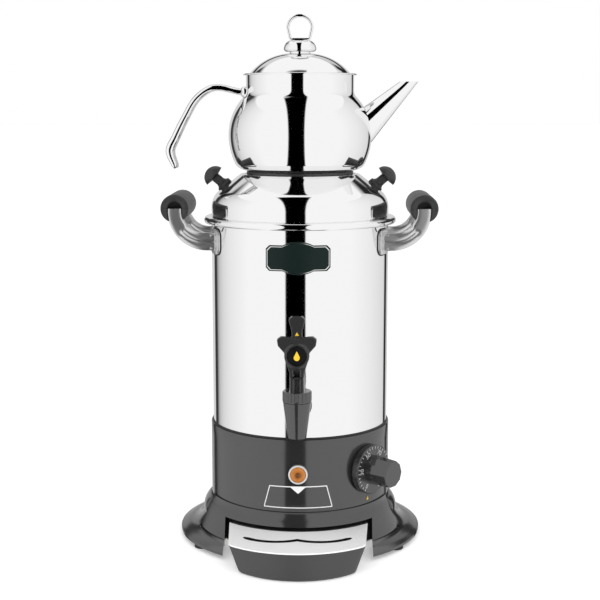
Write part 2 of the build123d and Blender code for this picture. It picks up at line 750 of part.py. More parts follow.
def element_legs():
    """Places in plan where the heating element goes through the tank floor."""
    return [(-ELEMENT_LEG_X, ELEMENT_HALF), (ELEMENT_LEG_X, ELEMENT_HALF)]


def tank_floor():
    """Tank floor with an upturned lip that is welded into the shell."""
    lip_in = TANK_IN_R - FLOOR_T
    top = TANK_FLOOR_Z + FLOOR_T
    floor = turned(
        (0, TANK_FLOOR_Z), (TANK_IN_R, TANK_FLOOR_Z), (TANK_IN_R, TANK_FLOOR_Z + FLOOR_LIP_H),
        (lip_in, TANK_FLOOR_Z + FLOOR_LIP_H), (lip_in, top), (0, top),
    )
    for x, y in element_legs():
        floor -= disc(ELEMENT_R + SLIP, TANK_FLOOR_Z, top, x, y)
    return floor


def tank_studs():
    """Studs welded under the tank floor."""
    low = TANK_FLOOR_Z - STUD_LENGTH
    return group(disc(STUD_R, low, TANK_FLOOR_Z, x, y) for x, y in stud_places())


def tank_nuts():
    """Nuts that pull the tank down on its ledge."""
    high = TANK_FLOOR_Z - LEDGE_T
    return group(hex_nut(NUT_ACROSS, STUD_R, high - NUT_H, high, x, y) for x, y in stud_places())


def heating_element():
    """Tubular heater: a ring above the tank floor with two legs through it."""
    half = ELEMENT_HALF
    leg = ELEMENT_LEG_X
    z = ELEMENT_Z
    foot = ELEMENT_LEG_FOOT_Z
    points = [
        (-leg, half, foot), (-leg, half, z), (-half, half, z), (-half, -half, z),
        (half, -half, z), (half, half, z), (leg, half, z), (leg, half, foot),
    ]
    turn = min(ELEMENT_CORNER_R, (half - leg - ELEMENT_LEG_BEND_R) * 0.95)
    radii = [ELEMENT_LEG_BEND_R, turn, ELEMENT_CORNER_R, ELEMENT_CORNER_R, turn, ELEMENT_LEG_BEND_R]
    path = FilletPolyline(*points, radius=radii)
    return sweep(Plane(origin=points[0], z_dir=(0, 0, 1)) * Circle(ELEMENT_R), path)


def element_seals():
    """Sealing rings above the tank floor, one on each leg."""
    top = TANK_FLOOR_Z + FLOOR_T
    return group(
        disc(GLAND_NUT_R, top, top + SEAL_T, x, y) - disc(ELEMENT_R, top, top + SEAL_T, x, y)
        for x, y in element_legs()
    )


def element_nuts():
    """Nuts below the tank floor that clamp the element's legs."""
    return group(
        hex_nut(GLAND_NUT_R, ELEMENT_R, TANK_FLOOR_Z - GLAND_NUT_H, TANK_FLOOR_Z, x, y) for x, y in element_legs()
    )


def thermal_cutout():
    """Boil-dry cut-out held flat against the tank floor."""
    low = TANK_FLOOR_Z - CUTOUT_H
    body = disc(CUTOUT_R, low, TANK_FLOOR_Z, CUTOUT_X, CUTOUT_Y)
    flange = block(
        CUTOUT_X - CUTOUT_R * 1.6, CUTOUT_X + CUTOUT_R * 1.6, CUTOUT_Y - 4, CUTOUT_Y + 4,
        TANK_FLOOR_Z - 1.0, TANK_FLOOR_Z,
    )
    tabs = [
        block(CUTOUT_X + x - 0.4, CUTOUT_X + x + 0.4, CUTOUT_Y - 3, CUTOUT_Y + 3, low - 8.0, low)
        for x in (-4.0, 4.0)
    ]
    return body + flange + tabs[0] + tabs[1]


def terminal_block():
    """Three-pole terminal block on the bottom plate."""
    body = block(
        -TERMINAL_W / 2, TERMINAL_W / 2, TERMINAL_Y - TERMINAL_D / 2, TERMINAL_Y + TERMINAL_D / 2,
        PLATE_Z, PLATE_Z + TERMINAL_H,
    )
    pitch = TERMINAL_W / TERMINAL_POLES
    for n in range(TERMINAL_POLES):
        x = pitch * (n - (TERMINAL_POLES - 1) / 2)
        z = PLATE_Z + TERMINAL_H / 2
        body -= rod(TERMINAL_HOLE_R, (x, TERMINAL_Y - TERMINAL_D, z), (x, TERMINAL_Y + TERMINAL_D, z))
    return body


def badge_plate():
    """Plain rounded plate bent to the tank's curve."""
    prism = extrude(RectangleRounded(BADGE_W, BADGE_H, BADGE_CORNER_R), TANK_R)
    prism = Plane(origin=(0, 0, BADGE_Z), x_dir=(1, 0, 0), z_dir=(0, -1, 0)) * Pos(0, 0, TANK_R / 2) * prism
    return prism & tube(TANK_R + BADGE_T, TANK_R, BADGE_Z - BADGE_H, BADGE_Z + BADGE_H)


# Side handles
def arm_outline(grow=0.0):
    """Side view of an arm: level at the tank, then a quarter ring up to the grip."""
    low = ARM_FOOT_Z - ARM_FOOT_H / 2 - grow
    high = ARM_FOOT_Z + ARM_FOOT_H / 2 + grow
    out = GRIP_X + ARM_TAB_W / 2 + grow
    inner = GRIP_X - ARM_TAB_W / 2 - grow
    root = TANK_R * 0.8
    outer_bend = GRIP_Z - low - ARM_TAB_H
    inner_bend = GRIP_Z - high - ARM_TAB_H
    return outline_face(
        Line((root, low), (out - outer_bend, low)),
        TangentArc((out - outer_bend, low), (out, low + outer_bend), tangent=(1, 0)),
        Polyline((out, low + outer_bend), (out, GRIP_Z), (inner, GRIP_Z), (inner, high + inner_bend)),
        TangentArc((inner - inner_bend, high), (inner, high + inner_bend), tangent=(1, 0)),
        Polyline((inner - inner_bend, high), (root, high), (root, low)),
    )


def handle_screw_places():
    """Angle in plan and height of each screw of the side handles."""
    foot = math.degrees(math.asin(ARM_Y / TANK_R))
    angles = (90.0 - foot, 90.0 + foot, 270.0 - foot, 270.0 + foot)
    heights = (ARM_FOOT_Z - HANDLE_SCREW_PITCH / 2, ARM_FOOT_Z + HANDLE_SCREW_PITCH / 2)
    return [(angle, z) for angle in angles for z in heights]


def handle_screw_plane(angle, z):
    """Plane on the inside of the tank wall at a handle screw, with its normal pointing out."""
    x, y = around(TANK_IN_R, angle)
    return Plane(origin=(x, y, z), x_dir=(0, 0, 1), z_dir=(x, y, 0))


def handle_arm(side_x, side_y):
    """Cast arm of a side handle: saddle on the tank, bent arm and tab for the grip."""
    arm = Plane.XZ * extrude(arm_outline(), ARM_T / 2, both=True)
    long_edges = arm.edges().filter_by(Axis.Y, reverse=True).filter_by(lambda e: e.center().X > TANK_R * 0.8 + 1)
    below_tab = long_edges.filter_by(lambda e: e.center().Z < GRIP_Z - 0.1)
    arm = Pos(0, ARM_Y, 0) * fillet(below_tab, ARM_EDGE_R)
    pad = extrude(RectangleRounded(SADDLE_W, SADDLE_H, SADDLE_CORNER_R), TANK_R)
    pad = Plane(origin=(TANK_R / 2, ARM_Y, ARM_FOOT_Z), x_dir=(0, 1, 0), z_dir=(1, 0, 0)) * pad
    pad &= disc(TANK_R + SADDLE_T, 0, TANK_RIM_Z)
    arm = arm + pad - disc(TANK_R, 0, LID_TOP_Z)
    for angle, z in handle_screw_places():
        if 0 < angle < 180 and angle > 90:
            hole = disc(HANDLE_SCREW_R, 0, HANDLE_SCREW_LENGTH + SLIP)
            arm -= handle_screw_plane(angle, z) * hole
    if side_y < 0:
        arm = mirror(arm, about=Plane.XZ)
    if side_x < 0:
        arm = mirror(arm, about=Plane.YZ)
    return arm


def grip_body():
    """Whole round grip on the +X side, slotted at both ends for the arms."""
    length = 2 * GRIP_HALF_LENGTH
    bar = Pos(GRIP_X, GRIP_HALF_LENGTH, GRIP_Z) * Rot(90, 0, 0) * Cylinder(GRIP_R, length, align=UP)
    bar = fillet(bar.edges().filter_by(GeomType.CIRCLE), GRIP_EDGE_R)
    slot_in = ARM_IN_Y - SLIP
    slot = extrude(arm_outline(SLIP), GRIP_HALF_LENGTH)
    recess_in = slot_in + ARM_T / 2
    for side in (-1, 1):
        near = -slot_in if side < 0 else slot_in + GRIP_HALF_LENGTH
        bar -= Plane(origin=(0, near, 0), x_dir=(1, 0, 0), z_dir=(0, -1, 0)) * slot
        bar -= rod(GRIP_RECESS_R, (GRIP_X, side * recess_in, GRIP_Z), (GRIP_X, side * 2 * recess_in, GRIP_Z))
    return bar


def grip_half(side_x, upper):
    """Upper or lower half of a grip, parted at the level of its axis."""
    gap = 0.1
    z0, z1 = (GRIP_Z + gap, GRIP_Z + 2 * GRIP_R) if upper else (GRIP_Z - 2 * GRIP_R, GRIP_Z)
    half = grip_body() & block(0, 2 * GRIP_X, -2 * GRIP_X, 2 * GRIP_X, z0, z1)
    return half if side_x > 0 else mirror(half, about=Plane.YZ)


def handle_screws():
    """Screws from inside the tank into the arms."""
    screw = pan_screw(HANDLE_SCREW_R, HANDLE_SCREW_HEAD_R, HANDLE_SCREW_LENGTH, 2.4)
    seat = SLIP
    return group(handle_screw_plane(angle, z) * Pos(0, 0, -seat) * screw for angle, z in handle_screw_places())


# Tap
def at_tap(solid):
    """Moves a piece made on the tank axis to the tap's axis."""
    return Pos(0, TAP_Y, 0) * solid


def shank_rod(radius, y0, y1):
    """Cylinder along the tap's shank."""
    return rod(radius, (0, y0, SHANK_Z), (0, y1, SHANK_Z))


def tap_body():
    """Tapered body with valve chamber, outlet and the shank that goes through the tank wall."""
    cone = turned((0, SPOUT_FOOT_Z), (SPOUT_FOOT_R, SPOUT_FOOT_Z), (SPOUT_TOP_R, SPOUT_TOP_Z), (0, SPOUT_TOP_Z))
    collar_y = -(TANK_R + TAP_GASKET_T)
    body = at_tap(cone) + shank_rod(SHANK_R, TAP_Y, SHANK_END_Y)
    body += shank_rod(COLLAR_R, collar_y - COLLAR_T, collar_y)
    body -= at_tap(disc(CHAMBER_R, SEAT_Z, SPOUT_TOP_Z) + disc(OUTLET_R, SPOUT_FOOT_Z, SEAT_Z))
    return body - shank_rod(SHANK_BORE_R, TAP_Y, SHANK_END_Y)


def tap_gaskets():
    """Silicone rings on both sides of the tank wall."""
    ring_r = COLLAR_R - 0.5
    outer = shank_rod(ring_r, -(TANK_R + TAP_GASKET_T), -TANK_R + 2.0) - disc(TANK_R, 0, TANK_RIM_Z)
    inner = shank_rod(ring_r, -TANK_R, -(TANK_IN_R - TAP_GASKET_T - 1.2)) & disc(TANK_IN_R, 0, TANK_RIM_Z)
    hole = shank_rod(SHANK_R, TAP_Y, SHANK_END_Y)
    return group([outer - hole, inner - hole])


def tap_lock_nut():
    """Nut on the shank inside the tank."""
    y = -(TANK_IN_R - TAP_GASKET_T - 1.2)
    nut = hex_nut(LOCK_NUT_R, SHANK_R, 0, LOCK_NUT_T)
    return Plane(origin=(0, y, SHANK_Z), x_dir=(1, 0, 0), z_dir=(0, 1, 0)) * nut


def tap_bonnet():
    """Fluted cap on the body with the post that the lever's foot bears on."""
    cap = disc(BONNET_R, SPOUT_TOP_Z, BONNET_TOP_Z)
    cap = chamfer(cap.edges().filter_by(GeomType.CIRCLE), 0.8)
    flute = disc(FLUTE_R, SPOUT_TOP_Z + 2.0, BONNET_TOP_Z + 1, BONNET_R + FLUTE_R * 0.55)
    for n in range(FLUTE_COUNT):
        cap -= Rot(0, 0, (n + 0.5) * 360.0 / FLUTE_COUNT) * flute
    post = block(-POST_HALF_W, POST_HALF_W, -POST_FRONT, POST_REAR, BONNET_TOP_Z - 1, POST_TOP_Z)
    post = fillet(post.edges().filter_by(Axis.Z), 1.2)
    recess = block(
        -POST_RECESS_W / 2, POST_RECESS_W / 2, -POST_FRONT - 1, -POST_FRONT + POST_RECESS_D,
        BONNET_TOP_Z, POST_TOP_Z - 1.6,
    )
    bonnet = cap + post - recess
    bonnet -= disc(CHAMBER_R, SPOUT_TOP_Z, SPRING_TOP_Z) + disc(STEM_R + RUN_FIT, SPRING_TOP_Z, POST_TOP_Z)
    return at_tap(bonnet)


def tap_stem():
    """Valve stem with a spring collar and a flat eye for the lever's pin."""
    eye_z = POST_TOP_Z + 1.0
    stem = disc(STEM_R, SEAT_Z + SEAL_H - 1.0, eye_z)
    stem += disc(STEM_COLLAR_R, COLLAR_Z - STEM_COLLAR_T, COLLAR_Z)
    flat = block(-STEM_EYE_T / 2, STEM_EYE_T / 2, -STEM_R, STEM_R, eye_z, PIVOT_Z)
    eye = rod(STEM_EYE_R, (-STEM_EYE_T / 2, 0, PIVOT_Z), (STEM_EYE_T / 2, 0, PIVOT_Z))
    hole = rod(PIVOT_PIN_R + RUN_FIT, (-STEM_EYE_T, 0, PIVOT_Z), (STEM_EYE_T, 0, PIVOT_Z))
    return at_tap(stem + flat + eye - hole)


def tap_seal():
    """Silicone plug on the stem that closes the outlet."""
    seal = turned(
        (0, SEAT_Z), (SEAL_R, SEAT_Z), (SEAL_R, SEAT_Z + 3.0), (STEM_R + 2.0, SEAT_Z + SEAL_H),
        (STEM_R, SEAT_Z + SEAL_H), (STEM_R, SEAT_Z + SEAL_H - 1.0), (0, SEAT_Z + SEAL_H - 1.0),
    )
    return at_tap(seal)


def tap_spring():
    """Coil spring that presses the stem down."""
    low = COLLAR_Z + SPRING_WIRE_R
    height = SPRING_TOP_Z - SPRING_WIRE_R - low
    helix = Pos(0, 0, low) * Helix(pitch=height / SPRING_TURNS, height=height, radius=SPRING_R)
    wire = Plane(origin=helix @ 0, z_dir=helix % 0) * Circle(SPRING_WIRE_R)
    return at_tap(sweep(wire, helix, is_frenet=True))


def lever_wings():
    """Front plate of the lever: two finger wings that narrow down to the hub."""
    outline = make_face(
        Polyline(
            (0, WING_TOP_Z - 2.0), (WING_TIP_X - 4.0, WING_TOP_Z), (WING_TIP_X, WING_TOP_Z - 3.0),
            (WING_TIP_X - 1.0, WING_LOW_Z + 2.0), (BOSS_FACE_R, MEDALLION_Z + 3.0),
            (BOSS_FACE_R - 1.5, MEDALLION_Z - 6.0), (LEVER_HUB_HALF_W, PIVOT_Z - CAM_R + 5.0),
            (0, PIVOT_Z - CAM_R + 5.0), close=True,
        )
    )
    tips = outline.vertices().filter_by(lambda v: v.X > WING_TIP_X - 4.5)
    outline = fillet(tips, 1.6)
    half = Plane.XZ * extrude(outline, WING_T)
    half = Pos(0, -POST_FRONT + WING_T, 0) * half
    return half + mirror(half, about=Plane.YZ)


def lever_foot():
    """Hub with an eccentric round foot that rolls on the bonnet's post."""
    side = make_face(
        Polyline(
            (-POST_FRONT, PIVOT_Z + 10.0), (-POST_FRONT, PIVOT_Z - 2 * CAM_R), (LEVER_REAR, PIVOT_Z - 2 * CAM_R),
            (LEVER_REAR, PIVOT_Z + 6.0), (LEVER_REAR - 3.0, PIVOT_Z + 10.0), close=True,
        )
    )
    hub = Plane.YZ * extrude(side, LEVER_HUB_HALF_W, both=True)
    cam = rod(CAM_R, (-LEVER_HUB_HALF_W - 1, -CAM_OFFSET, PIVOT_Z), (LEVER_HUB_HALF_W + 1, -CAM_OFFSET, PIVOT_Z))
    return hub & cam


def lever_paddle():
    """Flared thumb paddle above the wings."""
    low = WING_LOW_Z
    edge = Spline(
        (PADDLE_WAIST_HALF_W + 0.6, low), (PADDLE_WAIST_HALF_W, PADDLE_WAIST_Z),
        (PADDLE_HALF_W, PADDLE_TOP_Z - 4.5), tangents=((0, 1), (0.2, 1)),
    )
    cap = ThreePointArc((PADDLE_HALF_W, PADDLE_TOP_Z - 4.5), (PADDLE_HALF_W - 1.8, PADDLE_TOP_Z - 0.9),
                        (PADDLE_HALF_W - 4.5, PADDLE_TOP_Z))
    rest = Polyline((PADDLE_HALF_W - 4.5, PADDLE_TOP_Z), (0, PADDLE_TOP_Z), (0, low), (PADDLE_WAIST_HALF_W + 0.6, low))
    outline = make_face([edge, cap] + rest.edges())
    half = Plane.XZ * extrude(outline, PADDLE_T / 2, both=True)
    paddle = half + mirror(half, about=Plane.YZ)
    return Pos(0, -PADDLE_T / 2, 0) * paddle


def tap_lever():
    """Moulded lever: paddle, wings, medallion boss and forked cam foot."""
    boss_face = -(POST_FRONT + 1.4)
    boss = rod(BOSS_FACE_R, (0, boss_face, MEDALLION_Z), (0, -POST_FRONT + WING_T, MEDALLION_Z))
    boss = chamfer(boss.edges().filter_by(GeomType.CIRCLE).sort_by(Axis.Y)[:1], 1.0)
    lever = lever_wings() + boss + lever_foot() + lever_paddle()
    slot_low = PIVOT_Z - 2 * CAM_R
    room = block(
        -LEVER_SLOT_HALF_W, LEVER_SLOT_HALF_W, -POST_FRONT + LEVER_FRONT_T, LEVER_REAR + 1,
        slot_low, PIVOT_Z + STEM_EYE_R + 1.0,
    )
    mouth = block(
        -LEVER_SLOT_HALF_W, LEVER_SLOT_HALF_W, -POST_FRONT - 3, 0, slot_low, PIVOT_Z - CAM_R + LEVER_MOUTH_H
    )
    pin = rod(PIVOT_PIN_R, (-2 * BOSS_FACE_R, 0, PIVOT_Z), (2 * BOSS_FACE_R, 0, PIVOT_Z))
    seat = rod(MEDALLION_R + 0.1, (0, boss_face, MEDALLION_Z), (0, boss_face + MEDALLION_T, MEDALLION_Z))
    return at_tap(lever - room - mouth - pin - seat)


def lever_pin():
    """Pivot pin through the fork and the stem's eye; its ends stand proud."""
    reach = LEVER_HUB_HALF_W + PIN_PROUD
    return at_tap(rod(PIVOT_PIN_R, (-reach, 0, PIVOT_Z), (reach, 0, PIVOT_Z)))


def tap_medallion():
    """Round inlay on the lever's boss."""
    boss_face = -(POST_FRONT + 1.4)
    inlay = rod(MEDALLION_R, (0, boss_face + MEDALLION_T, MEDALLION_Z), (0, boss_face - 0.2, MEDALLION_Z))
    return at_tap(inlay)


# Tank lid
def lid_corner_z():
    """Height where the lid's cone would meet its wall."""
    return LID_TOP_Z - (TANK_R - LID_TOP_R) * math.tan(math.radians(LID_SLOPE))


def lid_shoulder_r():
    """Bend of the lid's shoulder, no larger than the wall under it leaves room for."""
    room = lid_corner_z() - TANK_RIM_Z - LID_HEM_H - SLIP
    return min(LID_SHOULDER_R, room / math.tan(math.radians(90 - LID_SLOPE) / 2))


def lid_fill():
    """Everything under the lid's outside, as a solid."""
    face = make_face(
        Polyline((0, TANK_RIM_Z), (TANK_R, TANK_RIM_Z), (TANK_R, lid_corner_z()), (LID_TOP_R, LID_TOP_Z),
                 (0, LID_TOP_Z), close=True)
    )
    corner = face.vertices().sort_by_distance((TANK_R, lid_corner_z()))[0]
    return turned_face(fillet(corner, lid_shoulder_r()))


def lid_dome():
    """Drawn lid: spigot in the tank, hem, wall, conical shoulder and the teapot's seat."""
    slope = math.radians(LID_SLOPE)
    spigot = TANK_IN_R - LID_SPIGOT_GAP
    wall_in = TANK_R - LID_WALL
    out_z = lid_corner_z()
    in_z = out_z + LID_WALL * math.tan(slope) - LID_WALL / math.cos(slope)
    seat_low = BASE_SEAT_Z - LID_WALL
    top_in_r = wall_in - (seat_low - in_z) / math.tan(slope)
    low = TANK_RIM_Z - LID_SPIGOT_DEPTH
    face = make_face(
        Polyline(
            (spigot, low), (spigot, TANK_RIM_Z), (TANK_R, TANK_RIM_Z), (TANK_R, out_z), (LID_TOP_R, LID_TOP_Z),
            (POT_SEAT_R, LID_TOP_Z), (POT_SEAT_R, BASE_SEAT_Z), (STEAM_HOLE_R, BASE_SEAT_Z), (STEAM_HOLE_R, seat_low),
            (top_in_r, seat_low), (wall_in, in_z), (wall_in, TANK_RIM_Z + LID_HEM_H),
            (spigot - LID_WALL, TANK_RIM_Z + LID_WALL), (spigot - LID_WALL, low), close=True,
        )
    )
    outer = face.vertices().sort_by_distance((TANK_R, out_z))[0]
    face = fillet(outer, lid_shoulder_r())
    inner = face.vertices().sort_by_distance((wall_in, in_z))[0]
    face = fillet(inner, lid_shoulder_r() - LID_WALL)
    lid = turned_face(face)
    for plane in lid_knob_planes():
        lid -= plane * disc(LID_SCREW_R + SCREW_FIT, -4 * LID_WALL, 4 * LID_WALL)
    return lid


def lid_knob_planes():
    """Planes on the lid's cone at the two knobs, with normals along the knobs."""
    tilt = math.radians(LID_KNOB_TILT)
    z = LID_TOP_Z - (LID_KNOB_X - LID_TOP_R) * math.tan(math.radians(LID_SLOPE))
    planes = []
    for side in (-1, 1):
        out = (side * math.cos(tilt), 0, math.sin(tilt))
        planes.append(Plane(origin=(side * LID_KNOB_X, 0, z), x_dir=(0, 1, 0), z_dir=out))
    return planes


def lid_knob(plane):
    """Mushroom knob with a flared foot bedded on the lid's cone."""
    head_z = LID_KNOB_LENGTH - LID_KNOB_HEAD_H
    foot = -LID_KNOB_FLARE_R / 2
    edges = [
        Polyline((0, foot), (LID_KNOB_FLARE_R, foot), (LID_KNOB_FLARE_R, 3.0)),
        ThreePointArc((LID_KNOB_FLARE_R, 3.0), (LID_KNOB_NECK_R + 0.9, 5.0), (LID_KNOB_NECK_R, 8.0)),
        Polyline((LID_KNOB_NECK_R, 8.0), (LID_KNOB_NECK_R, head_z), (LID_KNOB_HEAD_R, head_z + 1.6)),
        TangentArc((0, LID_KNOB_LENGTH), (LID_KNOB_HEAD_R, head_z + 1.6), tangent=(1, 0)),
        Line((0, LID_KNOB_LENGTH), (0, foot)),
    ]
    knob = turned_face(outline_face(*edges))
    knob -= disc(LID_SCREW_R, foot, LID_SCREW_LENGTH)
    return plane * knob - lid_fill()


def lid_knob_screws():
    """Screws from inside the lid into its knobs."""
    seat = LID_WALL * 2.6
    screw = pan_screw(LID_SCREW_R, LID_SCREW_HEAD_R, LID_SCREW_LENGTH + seat, 2.4)
    return group(plane * Pos(0, 0, -seat) * screw for plane in lid_knob_planes())


# Teapot
def bend(centre, start, end):
    """Arc round a centre, the short way between two points."""
    radius = math.dist(centre, start)
    x = start[0] + end[0] - 2 * centre[0]
    z = start[1] + end[1] - 2 * centre[1]
    size = math.hypot(x, z)
    return ThreePointArc(start, (centre[0] + radius * x / size, centre[1] + radius * z / size), end)


def towards(start, goal, reach):
    """Point at a distance from a start, on the line to a goal."""
    share = reach / math.dist(start, goal)
    return (start[0] + (goal[0] - start[0]) * share, start[1] + (goal[1] - start[1]) * share)


def pot_face(inset):
    """Half section of the teapot in smooth bends, drawn in by a wall thickness."""
    wide_z = POT_Z + POT_BELLY_H
    low_c = (POT_BELLY_R - POT_LOW_BEND_R, wide_z)
    high_c = (POT_BELLY_R - POT_HIGH_BEND_R, wide_z)
    rise = POT_BELLY_H - POT_FOOT_BEND_R
    foot_x = low_c[0] + math.sqrt((POT_LOW_BEND_R - POT_FOOT_BEND_R) ** 2 - rise ** 2)
    foot_c = (foot_x, POT_Z + POT_FOOT_BEND_R)
    throat_x = POT_NECK_R + POT_THROAT_BEND_R
    climb = math.sqrt((POT_HIGH_BEND_R + POT_THROAT_BEND_R) ** 2 - (throat_x - high_c[0]) ** 2)
    throat_c = (throat_x, wide_z + climb)
    floor = (foot_x, POT_Z + inset)
    low = towards(low_c, foot_c, POT_LOW_BEND_R - inset)
    wide = (POT_BELLY_R - inset, wide_z)
    high = towards(high_c, throat_c, POT_HIGH_BEND_R - inset)
    neck = (POT_NECK_R - inset, throat_c[1])
    return outline_face(
        bend(foot_c, floor, low), bend(low_c, low, wide), bend(high_c, wide, high), bend(throat_c, high, neck),
        Polyline(neck, (neck[0], POT_RIM_Z), (0, POT_RIM_Z), (0, floor[1]), floor),
    )


def bracket_x():
    """Distance of the bracket's face from the tank axis: a reach beyond the pot at the bracket's height."""
    rise = BRACKET_RISE - POT_BELLY_H
    high_x = POT_BELLY_R - POT_HIGH_BEND_R
    throat_x = POT_NECK_R + POT_THROAT_BEND_R
    climb = math.sqrt((POT_HIGH_BEND_R + POT_THROAT_BEND_R) ** 2 - (throat_x - high_x) ** 2)
    if rise < climb * POT_HIGH_BEND_R / (POT_HIGH_BEND_R + POT_THROAT_BEND_R):
        return high_x + math.sqrt(POT_HIGH_BEND_R ** 2 - rise ** 2) + BRACKET_REACH
    if rise < climb:
        return throat_x - math.sqrt(POT_THROAT_BEND_R ** 2 - (climb - rise) ** 2) + BRACKET_REACH
    return POT_NECK_R + BRACKET_REACH


def spout_solid(inset):
    """Tapered spout from an upright oval in the belly to a level oval mouth."""
    low = POT_Z + SPOUT_ROOT_LOW_H
    high = POT_Z + SPOUT_ROOT_HIGH_H
    root_plane = Plane(origin=(SPOUT_ROOT_X, 0, (low + high) / 2), x_dir=(0, 0, 1), z_dir=(1, 0, 0))
    tip_plane = Plane(origin=(SPOUT_TIP_X, 0, POT_Z + SPOUT_TIP_H), x_dir=(-1, 0, 0), z_dir=(0, 0, 1))
    root = root_plane * Ellipse((high - low) / 2 - inset, SPOUT_ROOT_HALF_W - inset)
    tip = tip_plane * Ellipse(SPOUT_TIP_HALF_L - inset * 1.4, SPOUT_TIP_HALF_W - inset)
    return loft([root, tip], ruled=True)


def teapot_body():
    """Drawn stainless pot with a round belly, a straight neck and a round way into the spout."""
    pot = turned_face(pot_face(0.0)) - turned_face(pot_face(POT_WALL))
    z = POT_Z + (SPOUT_ROOT_LOW_H + SPOUT_ROOT_HIGH_H) / 2
    return pot - rod(STRAINER_R, (POT_BELLY_R / 2, 0, z), (POT_BELLY_R * 1.2, 0, z))


def teapot_base():
    """Heavy disc under the pot that stands in the lid's seat."""
    base = disc(POT_BASE_R, BASE_SEAT_Z, POT_Z)
    return chamfer(base.edges().filter_by(GeomType.CIRCLE).sort_by(Axis.Z)[:1], 1.0)


def teapot_spout():
    """Hollow spout welded to the belly."""
    return spout_solid(0.0) - spout_solid(SPOUT_WALL) - turned_face(pot_face(0.0))


def teapot_handle():
    """Bent hollow-look strap handle, thicker towards its free end."""
    outer = [(-bracket_x() - out, POT_Z + h) for out, h in HANDLE_OUTER]
    inner = [(-bracket_x() - out, POT_Z + h) for out, h in HANDLE_INNER]
    edges = [
        Spline(*outer),
        Line(outer[-1], inner[0]),
        Spline(*inner),
        Line(inner[-1], outer[0]),
    ]
    strap = Plane.XZ * extrude(make_face(edges), POT_HANDLE_W / 2, both=True)
    rims = strap.edges().filter_by(Axis.Y, reverse=True).filter_by(lambda e: e.length > POT_HANDLE_W * 2)
    return fillet(rims, POT_HANDLE_EDGE_R)


def teapot_bracket():
    """Welded bracket between the neck and the top end of the handle."""
    high = POT_Z + BRACKET_RISE + BRACKET_H / 2
    piece = block(-bracket_x(), -POT_NECK_R / 2, -BRACKET_W / 2, BRACKET_W / 2, high - BRACKET_H, high)
    piece = fillet(piece.edges().filter_by(Axis.Y).sort_by(Axis.X)[:2], 2.0)
    return piece - turned_face(pot_face(0.0))


# Teapot lid
def cap_face():
    """Half section of the pot's lid: spigot, brim and dome."""
    z = POT_RIM_Z
    spigot = POT_NECK_R - POT_WALL - CAP_SPIGOT_GAP
    dome_in = CAP_DOME_R - CAP_WALL
    crown = PEDESTAL_R * 0.75
    edges = [
        Polyline((spigot, z - CAP_SPIGOT_DEPTH), (spigot, z), (CAP_BRIM_R, z), (CAP_BRIM_R, z + CAP_BRIM_T),
                 (CAP_DOME_R, z + CAP_BRIM_T + 0.6)),
        TangentArc((crown, z + CAP_DOME_H), (CAP_DOME_R, z + CAP_BRIM_T + 0.6), tangent=(1, 0)),
        Polyline((crown, z + CAP_DOME_H), (CAP_SCREW_R + SCREW_FIT, z + CAP_DOME_H),
                 (CAP_SCREW_R + SCREW_FIT, z + CAP_DOME_H - CAP_WALL), (crown, z + CAP_DOME_H - CAP_WALL)),
        TangentArc((crown, z + CAP_DOME_H - CAP_WALL), (dome_in, z + CAP_BRIM_T - 0.4), tangent=(1, 0)),
        Polyline((dome_in, z + CAP_BRIM_T - 0.4), (spigot - CAP_WALL, z), (spigot - CAP_WALL, z - CAP_SPIGOT_DEPTH),
                 (spigot, z - CAP_SPIGOT_DEPTH)),
    ]
    return outline_face(*edges)


def teapot_cap():
    """Domed lid of the teapot."""
    return turned_face(cap_face())


def cap_bell():
    """Pedestal and bell-shaped collar under the loop."""
    hole = CAP_SCREW_R
    foot = (BELL_FOOT_R, BELL_Z)
    wide = (BELL_R, BELL_Z + BELL_H * 0.3)
    edges = [
        Polyline((hole, CAP_TOP_Z), (PEDESTAL_R, CAP_TOP_Z), (PEDESTAL_R, BELL_Z), foot),
        ThreePointArc(foot, (BELL_R - 0.8, BELL_Z + BELL_H * 0.1), wide),
        ThreePointArc(wide, (BELL_R * 0.91, BELL_Z + BELL_H * 0.7), (BELL_TOP_R, LOOP_FOOT_Z)),
        Polyline((BELL_TOP_R, LOOP_FOOT_Z), (hole, LOOP_FOOT_Z), (hole, CAP_TOP_Z)),
    ]
    return turned_face(outline_face(*edges))


def cap_loop():
    """Finger loop: an arched strap that stands on the bell."""
    def arch(inset):
        half = LOOP_HALF_W - inset
        foot = LOOP_FOOT_HALF_W - inset
        z = LOOP_CENTRE_Z
        low = LOOP_FOOT_Z + inset
        arc = ThreePointArc((half, z), (0, z + half), (-half, z))
        return make_face([arc] + Polyline((-half, z), (-foot, low), (foot, low), (half, z)).edges())

    strap = Plane.XZ * extrude(arch(0.0) - arch(LOOP_T), LOOP_DEPTH / 2, both=True)
    return strap - disc(CAP_SCREW_R, LOOP_FOOT_Z, LOOP_FOOT_Z + LOOP_T)


def cap_screw():
    """Screw from inside the lid through the bell into the loop."""
    seat = CAP_TOP_Z - CAP_WALL
    screw = pan_screw(CAP_SCREW_R, CAP_SCREW_R * 2.2, LOOP_FOOT_Z + LOOP_T - seat, 2.4)
    return Pos(0, 0, seat) * screw


